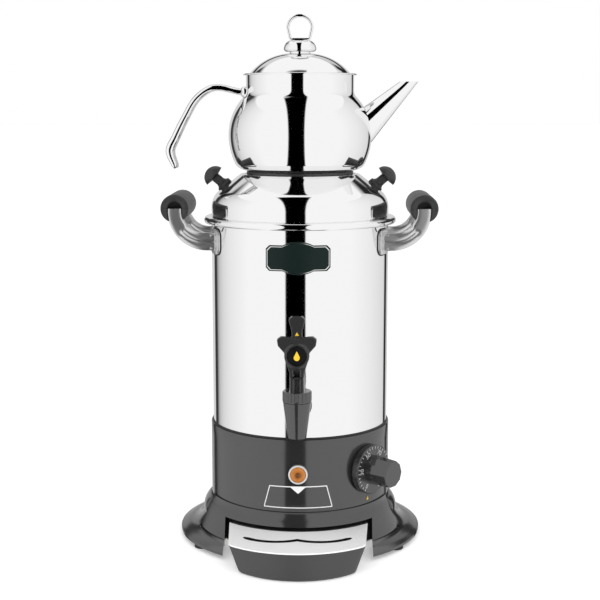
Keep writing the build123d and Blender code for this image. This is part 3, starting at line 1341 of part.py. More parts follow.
# Drip tray
def tray_face(share, inset=0.0):
    """Plan outline of the tray at a share of its height: tapered sides and a bowed front."""
    def between(low, high):
        return low + (high - low) * share - inset

    rear_w = between(TRAY_FOOT_REAR_W, TRAY_REAR_W)
    nose_w = between(TRAY_FOOT_NOSE_W, TRAY_NOSE_W)
    nose = -between(TRAY_FOOT_FRONT, TRAY_FRONT)
    rear_y = -TRAY_REAR_R / 2
    side_y = nose + TRAY_SAGITTA
    outline = outline_face(
        Polyline((nose_w, side_y), (rear_w, rear_y), (-rear_w, rear_y), (-nose_w, side_y)),
        ThreePointArc((-nose_w, side_y), (0, nose), (nose_w, side_y)),
    )
    corners = outline.vertices().sort_by(Axis.Y)[:2]
    return Pos(0, 0, TRAY_TOP_Z * share) * fillet(corners, TRAY_CORNER_R - inset)


def drip_tray():
    """Black drawer that catches the drips, wider at the top than at its rounded foot."""
    body = loft([tray_face(0.0), tray_face(1.0)], ruled=True)
    body = fillet(body.edges().group_by(Axis.Z)[0], TRAY_FOOT_BEND_R)
    body -= disc(TRAY_REAR_R, -1, TRAY_TOP_Z + 1)
    hollow = loft([tray_face(TRAY_WALL / TRAY_TOP_Z, TRAY_WALL), tray_face(1.0, TRAY_WALL)], ruled=True)
    return body - (hollow - disc(TRAY_REAR_R + TRAY_WALL, 0, TRAY_TOP_Z + 1))


def grate_slot():
    """Drain slot: two shallow bows that meet in a small point in the middle."""
    bows = []
    for side in (-1, 1):
        bow = ThreePointArc(
            (side * SLOT_END_X, -SLOT_END_Y), (side * SLOT_LOW_X, -SLOT_LOW_Y), (0, -SLOT_CUSP_Y)
        )
        bows.append(trace(bow, SLOT_W))
    return extrude(bows[0] + bows[1], 4 * GRATE_T)


def drip_grate():
    """Stainless cover of the tray with its drain slot and two locating ribs."""
    sheet = extrude(tray_face(1.0), GRATE_T)
    sheet -= disc(GRATE_REAR_R, 0, 2 * TRAY_TOP_Z)
    sheet -= Pos(0, 0, TRAY_TOP_Z - GRATE_T) * grate_slot()
    lean = (TRAY_NOSE_W - TRAY_FOOT_NOSE_W) * GRATE_RIB_DEPTH / TRAY_TOP_Z
    rib_x = TRAY_NOSE_W - TRAY_WALL - lean - 2 * SLIP
    rib_y = -(TRAY_FRONT - TRAY_SAGITTA) + TRAY_CORNER_R
    low = TRAY_TOP_Z - GRATE_RIB_DEPTH
    for side in (-1, 1):
        x0, x1 = sorted((side * (rib_x - GRATE_RIB_T), side * rib_x))
        rib = block(x0, x1, rib_y, rib_y + GRATE_RIB_LENGTH, low, TRAY_TOP_Z)
        sheet += rib - disc(GRATE_REAR_R, 0, 2 * TRAY_TOP_Z)
    return sheet


NODES = {
    "base_flange": base_flange,
    "front_fascia": front_fascia,
    "rubber_feet": rubber_feet,
    "bottom_plate": bottom_plate,
    "plate_screws": plate_screws,
    "heater_housing": heater_housing,
    "lamp_bezel": lamp_bezel,
    "lamp_lens": lamp_lens,
    "lamp_holder": lamp_holder,
    "cable_gland": cable_gland,
    "thermostat_body": thermostat_body,
    "thermostat_screws": thermostat_screws,
    "sensor_line": sensor_line,
    "dial_skirt": dial_skirt,
    "knob_grip": knob_grip,
    "dial_spindle": dial_spindle,
    "tank_shell": tank_shell,
    "tank_floor": tank_floor,
    "tank_studs": tank_studs,
    "tank_nuts": tank_nuts,
    "heating_element": heating_element,
    "element_seals": element_seals,
    "element_nuts": element_nuts,
    "thermal_cutout": thermal_cutout,
    "terminal_block": terminal_block,
    "badge_plate": badge_plate,
    "left_front_arm": lambda: handle_arm(-1, -1),
    "left_rear_arm": lambda: handle_arm(-1, 1),
    "right_front_arm": lambda: handle_arm(1, -1),
    "right_rear_arm": lambda: handle_arm(1, 1),
    "left_grip_upper": lambda: grip_half(-1, True),
    "left_grip_lower": lambda: grip_half(-1, False),
    "right_grip_upper": lambda: grip_half(1, True),
    "right_grip_lower": lambda: grip_half(1, False),
    "handle_screws": handle_screws,
    "tap_body": tap_body,
    "tap_gaskets": tap_gaskets,
    "tap_lock_nut": tap_lock_nut,
    "tap_bonnet": tap_bonnet,
    "tap_stem": tap_stem,
    "tap_seal": tap_seal,
    "tap_spring": tap_spring,
    "tap_lever": tap_lever,
    "lever_pin": lever_pin,
    "tap_medallion": tap_medallion,
    "lid_dome": lid_dome,
    "lid_knob_left": lambda: lid_knob(lid_knob_planes()[0]),
    "lid_knob_right": lambda: lid_knob(lid_knob_planes()[1]),
    "lid_knob_screws": lid_knob_screws,
    "teapot_body": teapot_body,
    "teapot_base": teapot_base,
    "teapot_spout": teapot_spout,
    "teapot_handle": teapot_handle,
    "teapot_bracket": teapot_bracket,
    "teapot_cap": teapot_cap,
    "cap_bell": cap_bell,
    "cap_loop": cap_loop,
    "cap_screw": cap_screw,
    "drip_tray": drip_tray,
    "drip_grate": drip_grate,
}

os.makedirs("parts", exist_ok=True)
for name, make in NODES.items():
    export_step(Pos(0, FRAME_SHIFT, 0) * make(), f"parts/{name}.step")
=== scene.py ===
import json
import logging
import math
from dataclasses import dataclass
from enum import Enum
from typing import Iterable, Optional, Sequence, Union

import bmesh
import bpy
from mathutils import Matrix, Vector


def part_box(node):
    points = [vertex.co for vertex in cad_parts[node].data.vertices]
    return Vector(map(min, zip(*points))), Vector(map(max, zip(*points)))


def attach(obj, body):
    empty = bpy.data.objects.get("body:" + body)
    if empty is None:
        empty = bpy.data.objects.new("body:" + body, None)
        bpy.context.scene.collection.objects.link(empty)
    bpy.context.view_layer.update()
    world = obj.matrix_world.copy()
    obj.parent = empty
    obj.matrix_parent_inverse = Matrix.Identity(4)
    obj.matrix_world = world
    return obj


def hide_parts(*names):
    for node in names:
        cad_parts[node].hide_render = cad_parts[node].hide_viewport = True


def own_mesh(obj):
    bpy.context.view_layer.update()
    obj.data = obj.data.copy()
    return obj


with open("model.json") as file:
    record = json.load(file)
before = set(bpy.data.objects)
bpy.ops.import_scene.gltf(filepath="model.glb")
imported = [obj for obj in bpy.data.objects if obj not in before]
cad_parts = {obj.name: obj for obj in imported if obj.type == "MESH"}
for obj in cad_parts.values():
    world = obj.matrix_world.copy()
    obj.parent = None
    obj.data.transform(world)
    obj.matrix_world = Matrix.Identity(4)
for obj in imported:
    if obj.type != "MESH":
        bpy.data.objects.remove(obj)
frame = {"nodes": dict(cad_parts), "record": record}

logging.basicConfig(level=logging.INFO, format="%(message)s")
LOG = logging.getLogger("tea_boiler")

Pair = tuple[float, float]
Triple = tuple[float, float, float]
Profile = tuple[Pair, ...]

# Sizes that several assemblies share, in metres and radians

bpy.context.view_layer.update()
FLOOR_LOW, FLOOR_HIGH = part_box("tank_floor")
AXIS_Y = (FLOOR_LOW.y + FLOOR_HIGH.y) / 2
TANK_RADIUS = 0.100
SLEEVE_RADIUS = 0.1024
DIAL_TURN = math.radians(48.5)

# Fineness of the meshes

ROUND_STEPS = 256
PLATE_STEP = 0.0015
PLATE_LOOPS = 10
PLATE_ROUNDING = 0.3
ON_AXIS = 1e-6
SAME_POINT = 1e-7
SAME_CAD_POINT = 2e-6


class Edge(Enum):
    """Angle in degrees past which an edge between two faces stays sharp."""

    SOFT = 50.0
    CRISP = 30.0
    FACET = 15.0


class Ends(Enum):
    """What becomes of the first and the last section of a loft."""

    OPEN = "left open"
    CAPPED = "closed by a face each"
    JOINED = "joined to each other"


class Grain(Enum):
    """Kind of fine surface a finish has."""

    POLISH = "polish marks"
    MOULD = "moulded grain"


# Finishes

POLISH_STRETCH = (1.0, 1.0, 22.0)
POLISH_DETAIL = 4.0
PIT_DETAIL = 2.0
CLOUD_SCALE = 35.0
CLOUD_DETAIL = 3.0


def grain_group(grain: Grain) -> bpy.types.NodeTree:
    """Shader group of a fine surface, which all finishes of its kind share.

    Polish marks run round the piece. Moulded grain is a cloudy sheen with fine pits.

    Args:
        grain: Kind of fine surface.

    Returns:
        The node group, with Vector, Scale, Low and High in, and Roughness and Height out.
    """
    found = bpy.data.node_groups.get(grain.value)
    if found:
        return found
    tree = bpy.data.node_groups.new(grain.value, "ShaderNodeTree")
    face = tree.interface
    face.new_socket(name="Vector", in_out="INPUT", socket_type="NodeSocketVector")
    for name in ("Scale", "Low", "High"):
        face.new_socket(name=name, in_out="INPUT", socket_type="NodeSocketFloat")
    for name in ("Roughness", "Height"):
        face.new_socket(name=name, in_out="OUTPUT", socket_type="NodeSocketFloat")
    nodes, links = tree.nodes, tree.links
    source, result = nodes.new("NodeGroupInput"), nodes.new("NodeGroupOutput")
    fine = sheen = nodes.new("ShaderNodeTexNoise")
    links.new(source.outputs["Scale"], fine.inputs["Scale"])
    if grain is Grain.POLISH:
        fine.inputs["Detail"].default_value = POLISH_DETAIL
        stretch = nodes.new("ShaderNodeVectorMath")
        stretch.operation = "MULTIPLY"
        stretch.inputs[1].default_value = POLISH_STRETCH
        links.new(source.outputs["Vector"], stretch.inputs[0])
        links.new(stretch.outputs[0], fine.inputs["Vector"])
    else:
        fine.inputs["Detail"].default_value = PIT_DETAIL
        sheen = nodes.new("ShaderNodeTexNoise")
        sheen.inputs["Scale"].default_value = CLOUD_SCALE
        sheen.inputs["Detail"].default_value = CLOUD_DETAIL
        for noise in (fine, sheen):
            links.new(source.outputs["Vector"], noise.inputs["Vector"])
    spread = nodes.new("ShaderNodeMapRange")
    links.new(sheen.outputs[0], spread.inputs["Value"])
    links.new(source.outputs["Low"], spread.inputs["To Min"])
    links.new(source.outputs["High"], spread.inputs["To Max"])
    links.new(spread.outputs[0], result.inputs["Roughness"])
    links.new(fine.outputs[0], result.inputs["Height"])
    return tree


@dataclass(frozen=True)
class Finish:
    """Surface of a material: colour, gloss and fine grain."""

    name: str
    color: Triple
    roughness: Pair = (0.2, 0.3)
    metallic: float = 0.0
    ior: float = 1.5
    grain: Grain = Grain.MOULD
    grain_scale: float = 900.0
    relief: float = 0.05
    relief_depth: float = 0.0001
    transmission: float = 0.0
    glow: float = 0.0

    def material(self) -> bpy.types.Material:
        """Builds the material, or finds it.

        Returns:
            The Blender material of this finish.
        """
        found = bpy.data.materials.get(self.name)
        if found:
            return found
        mat = bpy.data.materials.new(self.name)
        mat.use_nodes = True
        nodes, links = mat.node_tree.nodes, mat.node_tree.links
        shader = nodes["Principled BSDF"]
        for socket, value in (
            ("Base Color", (*self.color, 1.0)),
            ("Metallic", self.metallic),
            ("IOR", self.ior),
            ("Transmission Weight", self.transmission),
            ("Emission Color", (*grey(1.0), 1.0)),
            ("Emission Strength", self.glow),
        ):
            shader.inputs[socket].default_value = value
        place = nodes.new("ShaderNodeTexCoord")
        group = nodes.new("ShaderNodeGroup")
        group.node_tree = grain_group(self.grain)
        group.inputs["Scale"].default_value = self.grain_scale
        group.inputs["Low"].default_value, group.inputs["High"].default_value = self.roughness
        links.new(place.outputs["Object"], group.inputs["Vector"])
        links.new(group.outputs["Roughness"], shader.inputs["Roughness"])
        if self.relief > 0.0:
            bump = nodes.new("ShaderNodeBump")
            bump.inputs["Strength"].default_value = self.relief
            bump.inputs["Distance"].default_value = self.relief_depth
            links.new(group.outputs["Height"], bump.inputs["Height"])
            links.new(bump.outputs["Normal"], shader.inputs["Normal"])
        return mat


def grey(tone: float) -> Triple:
    """Colour without a hue."""
    return tone, tone, tone


def polished(name: str, color: Triple, roughness: Pair, scale: float, relief: float) -> Finish:
    """Finish of bare metal with marks that run round it."""
    return Finish(name, color, roughness, 1.0, grain=Grain.POLISH, grain_scale=scale, relief=relief)


def cast(name: str, color: Triple, roughness: Pair, scale: float, relief: float) -> Finish:
    """Finish of bare or plated metal with a moulded grain."""
    return Finish(name, color, roughness, 1.0, grain_scale=scale, relief=relief)


MIRROR_STEEL = polished("mirror steel", grey(0.91), (0.03, 0.07), 9.0, 0.0)
ANNEALED = polished("annealed tube", (0.36, 0.35, 0.33), (0.35, 0.5), 60.0, 0.03)
BRASS = polished("turned brass", (0.72, 0.53, 0.24), (0.2, 0.32), 60.0, 0.03)
CAST_CHROME = cast("polished casting", grey(0.80), (0.12, 0.2), 300.0, 0.02)
SATIN_CAST = cast("satin casting", grey(0.72), (0.26, 0.33), 400.0, 0.05)
PLATED = cast("zinc plate", (0.62, 0.62, 0.61), (0.28, 0.4), 500.0, 0.05)
# Dark steel for the pot's base: painted shade of the gap between the pot and the tank's lid
POT_BASE_SHADE = cast("shaded steel", grey(0.10), (0.4, 0.5), 900.0, 0.02)
GRATE_STEEL = Finish(
    "satin steel", grey(0.97), (0.45, 0.55), 0.15, grain=Grain.POLISH, grain_scale=30.0, relief=0.02
)
BEZEL_STEEL = Finish(
    "bezel plate", (0.80, 0.80, 0.79), (0.3, 0.4), 0.4, grain_scale=300.0, relief=0.02
)
# Near-black stem: painted shade under the lever on a steel stem
STEM_SHADE = Finish("stem painted shade", grey(0.016), (0.3, 0.4), relief=0.0)
GLOSS_BLACK = Finish(
    "glossy black plastic", (0.024, 0.024, 0.025), (0.08, 0.16), ior=1.82, relief=0.015
)
TAP_BLACK = Finish("satin black plastic", (0.020, 0.020, 0.021), (0.24, 0.34), ior=1.55)
KNOB_BLACK = Finish("dark grey plastic", (0.026, 0.026, 0.027), (0.36, 0.46), ior=1.45)
TRAY_BLACK = Finish("drawer plastic", (0.060, 0.060, 0.061), (0.36, 0.46), ior=1.36)
# Near-black band over the grate along its slot: painted shade of the slot
SLOT_SHADE = Finish("shaded tray", grey(0.004), (0.6, 0.7), ior=1.2, relief=0.0)
INLAY_BLACK = Finish("inlay black", grey(0.005), (0.4, 0.5), ior=1.2, relief=0.0)
RUBBER = Finish("foot rubber", grey(0.018), (0.6, 0.75), relief=0.2)
# Near-black ring and rims: painted shade of the gaps between tank and sleeve and round the arms'
# saddles
GAP_SHADE = Finish("painted gap shade", grey(0.012), (0.5, 0.6), relief=0.1)
SILICONE = Finish("grey silicone", (0.6, 0.6, 0.59), (0.4, 0.5))
WHITE_PLASTIC = Finish("white plastic", (0.75, 0.75, 0.73), (0.3, 0.4), relief=0.03)
BADGE_GREEN = Finish("badge enamel", (0.005, 0.013, 0.011), (0.3, 0.4), ior=1.25, relief=0.02)
PRINT_WHITE = Finish("white print", grey(0.85), (0.35, 0.5), relief=0.02)
PRINT_GREY = Finish("grey print", grey(0.55), (0.35, 0.5), relief=0.02)
PRINT_YELLOW = Finish("yellow print", (0.80, 0.52, 0.02), (0.35, 0.5), relief=0.02)
AMBER = Finish(
    "amber lens", (0.62, 0.22, 0.03), (0.08, 0.14), ior=1.58, relief=0.0, transmission=0.2
)
AMBER_CORE = Finish("amber core", (0.16, 0.06, 0.02), (0.1, 0.2), ior=1.58, relief=0.0)
PALE_FLOOR = Finish("pale floor", grey(0.96), (0.8, 0.9), ior=1.2, relief=0.0, glow=0.3)

SLOT_FINISH: dict[str, Finish] = {
    "black_gloss": GLOSS_BLACK,
    "tap_black": TAP_BLACK,
    "knob_black": KNOB_BLACK,
    "stainless": MIRROR_STEEL,
    "polished_arm": SATIN_CAST,
    "plated_steel": PLATED,
    "element_steel": ANNEALED,
    "nut_brass": BRASS,
    "rubber": RUBBER,
    "silicone": SILICONE,
    "white_plastic": WHITE_PLASTIC,
    "amber_lens": AMBER,
    "badge_metal": BADGE_GREEN,
    "medallion": TAP_BLACK,
}
NODE_SLOT: dict[str, str] = {
    row["node"]: row["material_slot"] for row in frame["record"]["subparts"]
}


# Lines and outlines


def mixed(start: Pair, end: Pair, share: float) -> Pair:
    """Point on the line between two points."""
    return start[0] + (end[0] - start[0]) * share, start[1] + (end[1] - start[1]) * share


def towards(start: Pair, goal: Pair, reach: float) -> Pair:
    """Point at a distance from a start, on the line to a goal."""
    return mixed(start, goal, reach / math.dist(start, goal))


def side_of(before: Pair, after: Pair) -> Pair:
    """Unit normal to the right of the way from one point to another."""
    size = math.dist(before, after)
    return (after[1] - before[1]) / size, -(after[0] - before[0]) / size


def round_angles(count: int) -> list[float]:
    """Angles of evenly spaced points round a circle, in radians."""
    return [2 * math.pi * i / count for i in range(count)]


def bend(centre: Pair, radius: float, start: float, end: float, steps: int) -> list[Pair]:
    """Points of a circle between two angles.

    Args:
        centre: Centre of the circle.
        radius: Radius of the circle.
        start: First angle, in degrees.
        end: Last angle, in degrees.
        steps: Number of spans.

    Returns:
        The points, both ends included.
    """
    angles = [math.radians(start + (end - start) * i / steps) for i in range(steps + 1)]
    return [(centre[0] + radius * math.cos(a), centre[1] + radius * math.sin(a)) for a in angles]


def arc(start: Pair, end: Pair, centre: Pair, steps: int = 12) -> list[Pair]:
    """Points of the shorter circular arc between two points.

    Args:
        start: First point.
        end: Last point.
        centre: Centre of the circle.
        steps: Number of spans.

    Returns:
        The points, both ends included.
    """
    first = math.degrees(math.atan2(start[1] - centre[1], start[0] - centre[0]))
    last = math.degrees(math.atan2(end[1] - centre[1], end[0] - centre[0]))
    turn = (last - first + 180.0) % 360.0 - 180.0
    return bend(centre, math.dist(start, centre), first, first + turn, steps)


def circle_through(a: Pair, b: Pair, c: Pair) -> tuple[Pair, float]:
    """Circle through three points.

    Args:
        a: First point.
        b: Second point.
        c: Third point.

    Returns:
        The circle's centre and its radius.
    """
    (ax, ay), (bx, by), (cx, cy) = a, b, c
    aa, bb, cc = (x * x + y * y for x, y in (a, b, c))
    span = 2 * (ax * (by - cy) + bx * (cy - ay) + cx * (ay - by))
    x = (aa * (by - cy) + bb * (cy - ay) + cc * (ay - by)) / span
    y = (aa * (cx - bx) + bb * (ax - cx) + cc * (bx - ax)) / span
    return (x, y), math.dist(a, (x, y))


def smooth_line(
    points: Sequence[Pair], spans: int, first: Optional[Pair] = None, last: Optional[Pair] = None
) -> list[Pair]:
    """Smooth curve through points, with slopes from neighbours.

    Args:
        points: Points that the curve passes.
        spans: Pieces between two points.
        first: Direction at the start, or None for the chord's.
        last: Direction at the end, or None for the chord's.

    Returns:
        Points along the curve.
    """
    slopes = []
    for i, point in enumerate(points):
        before, after = points[max(i - 1, 0)], points[min(i + 1, len(points) - 1)]
        length = math.dist(before, point) + math.dist(point, after)
        slopes.append(((after[0] - before[0]) / length, (after[1] - before[1]) / length))
    for index, wanted in ((0, first), (-1, last)):
        if wanted:
            slopes[index] = towards((0.0, 0.0), wanted, 1.0)
    line = [points[0]]
    for i, (start, end) in enumerate(zip(points, points[1:])):
        span = math.dist(start, end)
        terms = (start, slopes[i], end, slopes[i + 1])
        for k in range(1, spans + 1):
            t = k / spans
            rise = 3 * t**2 - 2 * t**3
            weights = (1 - rise, (t**3 - 2 * t**2 + t) * span, rise, (t**3 - t**2) * span)
            x, y = (sum(w * term[axis] for w, term in zip(weights, terms)) for axis in (0, 1))
            line.append((x, y))
    return line


def resampled(outline: Sequence[Pair], step: float) -> list[Pair]:
    """Divides the spans of a closed outline.

    Args:
        outline: Points of the outline.
        step: Length that no span exceeds.

    Returns:
        The outline with more points.
    """
    points = []
    for start, end in zip(outline, [*outline[1:], outline[0]]):
        spans = max(1, math.ceil(math.dist(start, end) / step))
        points += [mixed(start, end, i / spans) for i in range(spans)]
    return points


def rounded_rectangle(width: float, height: float, radius: float, steps: int = 8) -> list[Pair]:
    """Outline of a rectangle with round corners.

    Args:
        width: Full width.
        height: Full height.
        radius: Radius of the corners.
        steps: Spans of each corner.

    Returns:
        The closed outline about the origin.
    """
    x, y = width / 2 - radius, height / 2 - radius
    points = []
    for quarter, centre in enumerate(((x, y), (-x, y), (-x, -y), (x, -y))):
        points += bend(centre, radius, 90.0 * quarter, 90.0 * (quarter + 1), steps)
    return points


def swelled(value: float, power: float) -> float:
    """Power of a sine or cosine that keeps its sign."""
    return math.copysign(abs(value) ** power, value)


def swelled_ring(half: Pair, powers: Pair, count: int = 48) -> list[Pair]:
    """Round outline that powers below 1 swell towards a rectangle.

    Args:
        half: Half of its width and half of its height.
        powers: Powers of the cosine and of the sine.
        count: Number of points.

    Returns:
        The closed outline about the origin.
    """
    return [
        (half[0] * swelled(math.cos(a), powers[0]), half[1] * swelled(math.sin(a), powers[1]))
        for a in round_angles(count)
    ]


def wall_loop(outer: Sequence[Pair], inner: Sequence[Pair]) -> list[Pair]:
    """Closed outline of a thin wall from its outer and inner lines, both drawn upwards."""
    return [*outer, *reversed(inner)]


def on_drum(across: float, height: float, radius: float, turn: float = 0.0) -> Triple:
    """Point on a drum round the tank's axis.

    Args:
        across: Distance along the drum from its front line.
        height: Height above ground.
        radius: Radius of the drum.
        turn: Turn of the front line towards +X, in radians.

    Returns:
        The point in the part's frame.
    """
    a = turn + across / radius
    return radius * math.sin(a), AXIS_Y - radius * math.cos(a), height


# Meshes


def finished(
    name: str, bm: bmesh.types.BMesh, edge: Edge = Edge.CRISP, outward: bool = True
) -> bpy.types.Object:
    """Turns a bmesh into a smooth-shaded object at the origin.

    Args:
        name: Name of the new piece.
        bm: Mesh with its place in its vertices; it is used up.
        edge: Angle past which edges stay sharp.
        outward: Whether faces are turned outwards again.

    Returns:
        The new object, linked to the scene.
    """
    bmesh.ops.remove_doubles(bm, verts=bm.verts, dist=SAME_POINT)
    if outward:
        bmesh.ops.recalc_face_normals(bm, faces=bm.faces)
    mesh = bpy.data.meshes.new(name)
    bm.to_mesh(mesh)
    bm.free()
    mesh.shade_smooth()
    mesh.set_sharp_from_angle(angle=math.radians(edge.value))
    obj = bpy.data.objects.new(name, mesh)
    bpy.context.scene.collection.objects.link(obj)
    return obj


def loft(
    name: str,
    sections: Sequence[Sequence[Triple]],
    edge: Edge = Edge.CRISP,
    ends: Ends = Ends.OPEN,
) -> bpy.types.Object:
    """Skin through sections in their order.

    Args:
        name: Name of the new piece.
        sections: Rings with the same number of points each, or single points as poles.
        edge: Angle past which edges stay sharp.
        ends: What becomes of the first and the last section.

    Returns:
        The new piece.
    """
    bm = bmesh.new()
    count = max(len(section) for section in sections)
    rings = []
    for section in sections:
        ring = [bm.verts.new(point) for point in section]
        rings.append(ring * count if len(ring) == 1 else ring)
    pairs = list(zip(rings, rings[1:]))
    if ends is Ends.JOINED:
        pairs.append((rings[-1], rings[0]))
    for low, high in pairs:
        for i in range(count):
            k = (i + 1) % count
            corners = list(dict.fromkeys((low[i], low[k], high[k], high[i])))
            if len(corners) > 2:
                bm.faces.new(corners)
    if ends is Ends.CAPPED:
        bm.faces.new(rings[0])
        bm.faces.new(rings[-1])
    return finished(name, bm, edge)


def lathe(name: str, profile: Sequence[Pair]) -> bpy.types.Object:
    """Turns an outline round the tank's axis.

    Args:
        name: Name of the new piece.
        profile: Outline of (radius, height) points, closed or with both ends on the axis.

    Returns:
        The turned piece.
    """
    sections = []
    for radius, height in profile:
        if radius < ON_AXIS:
            sections.append([(0.0, AXIS_Y, height)])
        else:
            sections.append([on_drum(0.0, height, radius, a) for a in round_angles(ROUND_STEPS)])
    return loft(name, sections, ends=Ends.OPEN if profile[0][0] < ON_AXIS else Ends.JOINED)


def tank_plate(
    name: str,
    outline: Sequence[Pair],
    z: float,
    thick: float,
    bevel: float = 0.0,
    turn: float = 0.0,
) -> bpy.types.Object:
    """Thin plate that lies round the tank.

    Args:
        name: Name of the new piece.
        outline: Closed outline as (across, up) points about the plate's middle.
        z: Height of the plate's middle.
        thick: Thickness, from the tank outwards.
        bevel: Width of the rounded edge of its face.
        turn: Turn towards +X, in radians.

    Returns:
        The plate.
    """
    outline = resampled(outline, PLATE_STEP)
    reach = min(max(abs(x) for x, _ in outline), max(abs(y) for _, y in outline))
    face, flat = TANK_RADIUS + thick, 1.0 - bevel / reach
    loops = [(k / PLATE_LOOPS, TANK_RADIUS) for k in range(PLATE_LOOPS + 1)]
    loops += [
        (1.0, face - bevel),
        (1.0 - (1.0 - flat) * PLATE_ROUNDING, face - bevel * PLATE_ROUNDING),
    ]
    loops += [(flat * k / PLATE_LOOPS, face) for k in range(PLATE_LOOPS, -1, -1)]
    sections = []
    for scale, radius in loops:
        points = outline if scale > 0.0 else [(0.0, 0.0)]
        sections.append([on_drum(x * scale, z + y * scale, radius, turn) for x, y in points])
    return loft(name, sections)


def cad_copy(node: str, name: str, edge: Edge, voxel: float, relax: int) -> bpy.types.Object:
    """Smooth-shaded copy of a CAD node, with its edges rounded where a voxel size is given.

    Args:
        node: CAD node to copy.
        name: Name of the new piece.
        edge: Angle past which edges stay sharp.
        voxel: Grid size of a remesh that rounds the edges, or 0 for none.
        relax: Passes of smoothing after the remesh.

    Returns:
        The copy.
    """
    bm = bmesh.new()
    bm.from_mesh(frame["nodes"][node].data)
    bmesh.ops.remove_doubles(bm, verts=bm.verts, dist=SAME_CAD_POINT)
    obj = finished(name, bm, edge, outward=False)
    if voxel > 0.0:
        grid = obj.modifiers.new("grid", "REMESH")
        grid.mode = "VOXEL"
        grid.voxel_size = voxel
        grid.use_smooth_shade = True
        ease = obj.modifiers.new("ease", "SMOOTH")
        ease.factor = 0.5
        ease.iterations = relax
        settle(obj)
        obj.data.shade_smooth()
    return obj


def settled_mesh(obj: bpy.types.Object) -> bpy.types.Mesh:
    """Plain mesh of an object with its modifiers or its curve worked out."""
    return bpy.data.meshes.new_from_object(
        obj.evaluated_get(bpy.context.evaluated_depsgraph_get())
    )


def settle(obj: bpy.types.Object) -> None:
    """Replaces an object's mesh by its evaluated mesh and removes its modifiers.

    Args:
        obj: Object to settle.
    """
    made = settled_mesh(obj)
    obj.modifiers.clear()
    obj.data = made


def joined(name: str, pieces: Sequence[bpy.types.Object]) -> bpy.types.Object:
    """Joins pieces into one object.

    Args:
        name: Name of the joined piece.
        pieces: Pieces to join; they are used up.

    Returns:
        The joined piece.
    """
    bm = bmesh.new()
    for piece in pieces:
        bm.from_mesh(piece.data)
        bpy.data.objects.remove(piece)
    return finished(name, bm, outward=False)


# Assemblies


@dataclass
class Assembly:
    """A group of pieces that ride on one body."""

    body: str

    def add(
        self,
        obj: bpy.types.Object,
        nodes: Iterable[str] = (),
        finish: Optional[Finish] = None,
        slot: Optional[str] = None,
    ) -> bpy.types.Object:
        """Dresses a piece, rides it on the body and hides the CAD nodes it stands for.

        Args:
            obj: Piece in its place.
            nodes: CAD nodes that the piece replaces.
            finish: Finish, or None for the one of the node's slot.
            slot: Slot of the record, or None for the node's.

        Returns:
            The same piece.
        """
        nodes = list(nodes)
        slot = slot or NODE_SLOT[nodes[0]]
        finish = finish or SLOT_FINISH[slot]
        obj.data.materials.clear()
        obj.data.materials.append(finish.material())
        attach(obj, self.body)
        if nodes:
            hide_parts(*nodes)
        LOG.info("%s: %s, %d faces", self.body, obj.name, len(obj.data.polygons))
        return obj

    def copy(
        self,
        node: str,
        edge: Edge = Edge.CRISP,
        voxel: float = 0.0,
        relax: int = 0,
        finish: Optional[Finish] = None,
    ) -> bpy.types.Object:
        """Adds a smooth copy of a CAD node and gives it back."""
        return self.add(cad_copy(node, f"{node}_shell", edge, voxel, relax), [node], finish)


@dataclass
class Tank(Assembly):
    """Polished water tank with its badge."""

    body: str = "boiler"
    wall: float = 0.001
    tube_spans: int = 12
    bead_radius: float = 0.004
    bead_proud: float = 0.0085
    bead_steps: int = 20
    badge_z: float = 0.331
    badge_half_width: float = 0.0352
    badge_half_height: float = 0.0178
    badge_side_half: float = 0.0138
    badge_swell_half: float = 0.026
    badge_notch: float = 0.0038
    badge_spans: int = 96
    badge_thick: float = 0.0015
    badge_bevel: float = 0.0005
    line_width: float = 0.0007
    line_inset: float = 0.0012
    line_proud: Pair = (0.0012, 0.0016)

    def build(self) -> None:
        """Makes the tube with its rolled rim, and the badge with its bright line."""
        low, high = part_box("tank_shell")
        foot, top = (TANK_RADIUS, low.z), (TANK_RADIUS, high.z - 2 * self.bead_radius)
        bead = (TANK_RADIUS + self.bead_proud - self.bead_radius, high.z - self.bead_radius)
        outer = [mixed(foot, top, i / self.tube_spans) for i in range(self.tube_spans + 1)]
        outer += bend(bead, self.bead_radius, -90.0, 90.0, self.bead_steps)
        inside = TANK_RADIUS - self.wall
        tube = lathe("tank_tube", wall_loop(outer, [(inside, low.z), (inside, high.z)]))
        self.add(tube, ["tank_shell"])
        outline = self.badge(0.0)
        plaque = tank_plate(
            "badge_plaque", outline, self.badge_z, self.badge_thick, self.badge_bevel
        )
        self.add(plaque, ["badge_plate"])
        self.add(self.badge_frame(), finish=CAST_CHROME, slot="badge_metal")

    def badge_frame(self) -> bpy.types.Object:
        """Thin line just inside the badge's edge.

        Returns:
            The line as a closed strip.
        """
        low, high = (TANK_RADIUS + proud for proud in self.line_proud)
        outside = self.badge(self.line_inset)
        inside = self.badge(self.line_inset + self.line_width)
        sections = [
            [on_drum(x, self.badge_z + y, radius) for x, y in outline]
            for outline, radius in ((outside, low), (outside, high), (inside, high), (inside, low))
        ]
        return loft("badge_line", sections, ends=Ends.JOINED)

    def badge(self, inset: float) -> list[Pair]:
        """Outline of the badge: a bar with notched ends that swells in its middle.

        Args:
            inset: Distance that the outline is drawn in.

        Returns:
            The closed outline about the badge's middle.
        """
        width = self.badge_half_width - inset
        edge = []
        for i in range(self.badge_spans + 1):
            x = -width + 2 * width * i / self.badge_spans
            notch = max(0.0, abs(x) - (width - self.badge_notch))
            swell = math.sqrt(max(1 - (x / self.badge_swell_half) ** 2, 0.0))
            side = self.badge_side_half - inset - notch
            edge.append((x, max(side, (self.badge_half_height - inset) * swell)))
        return edge + [(x, -y) for x, y in reversed(edge)]


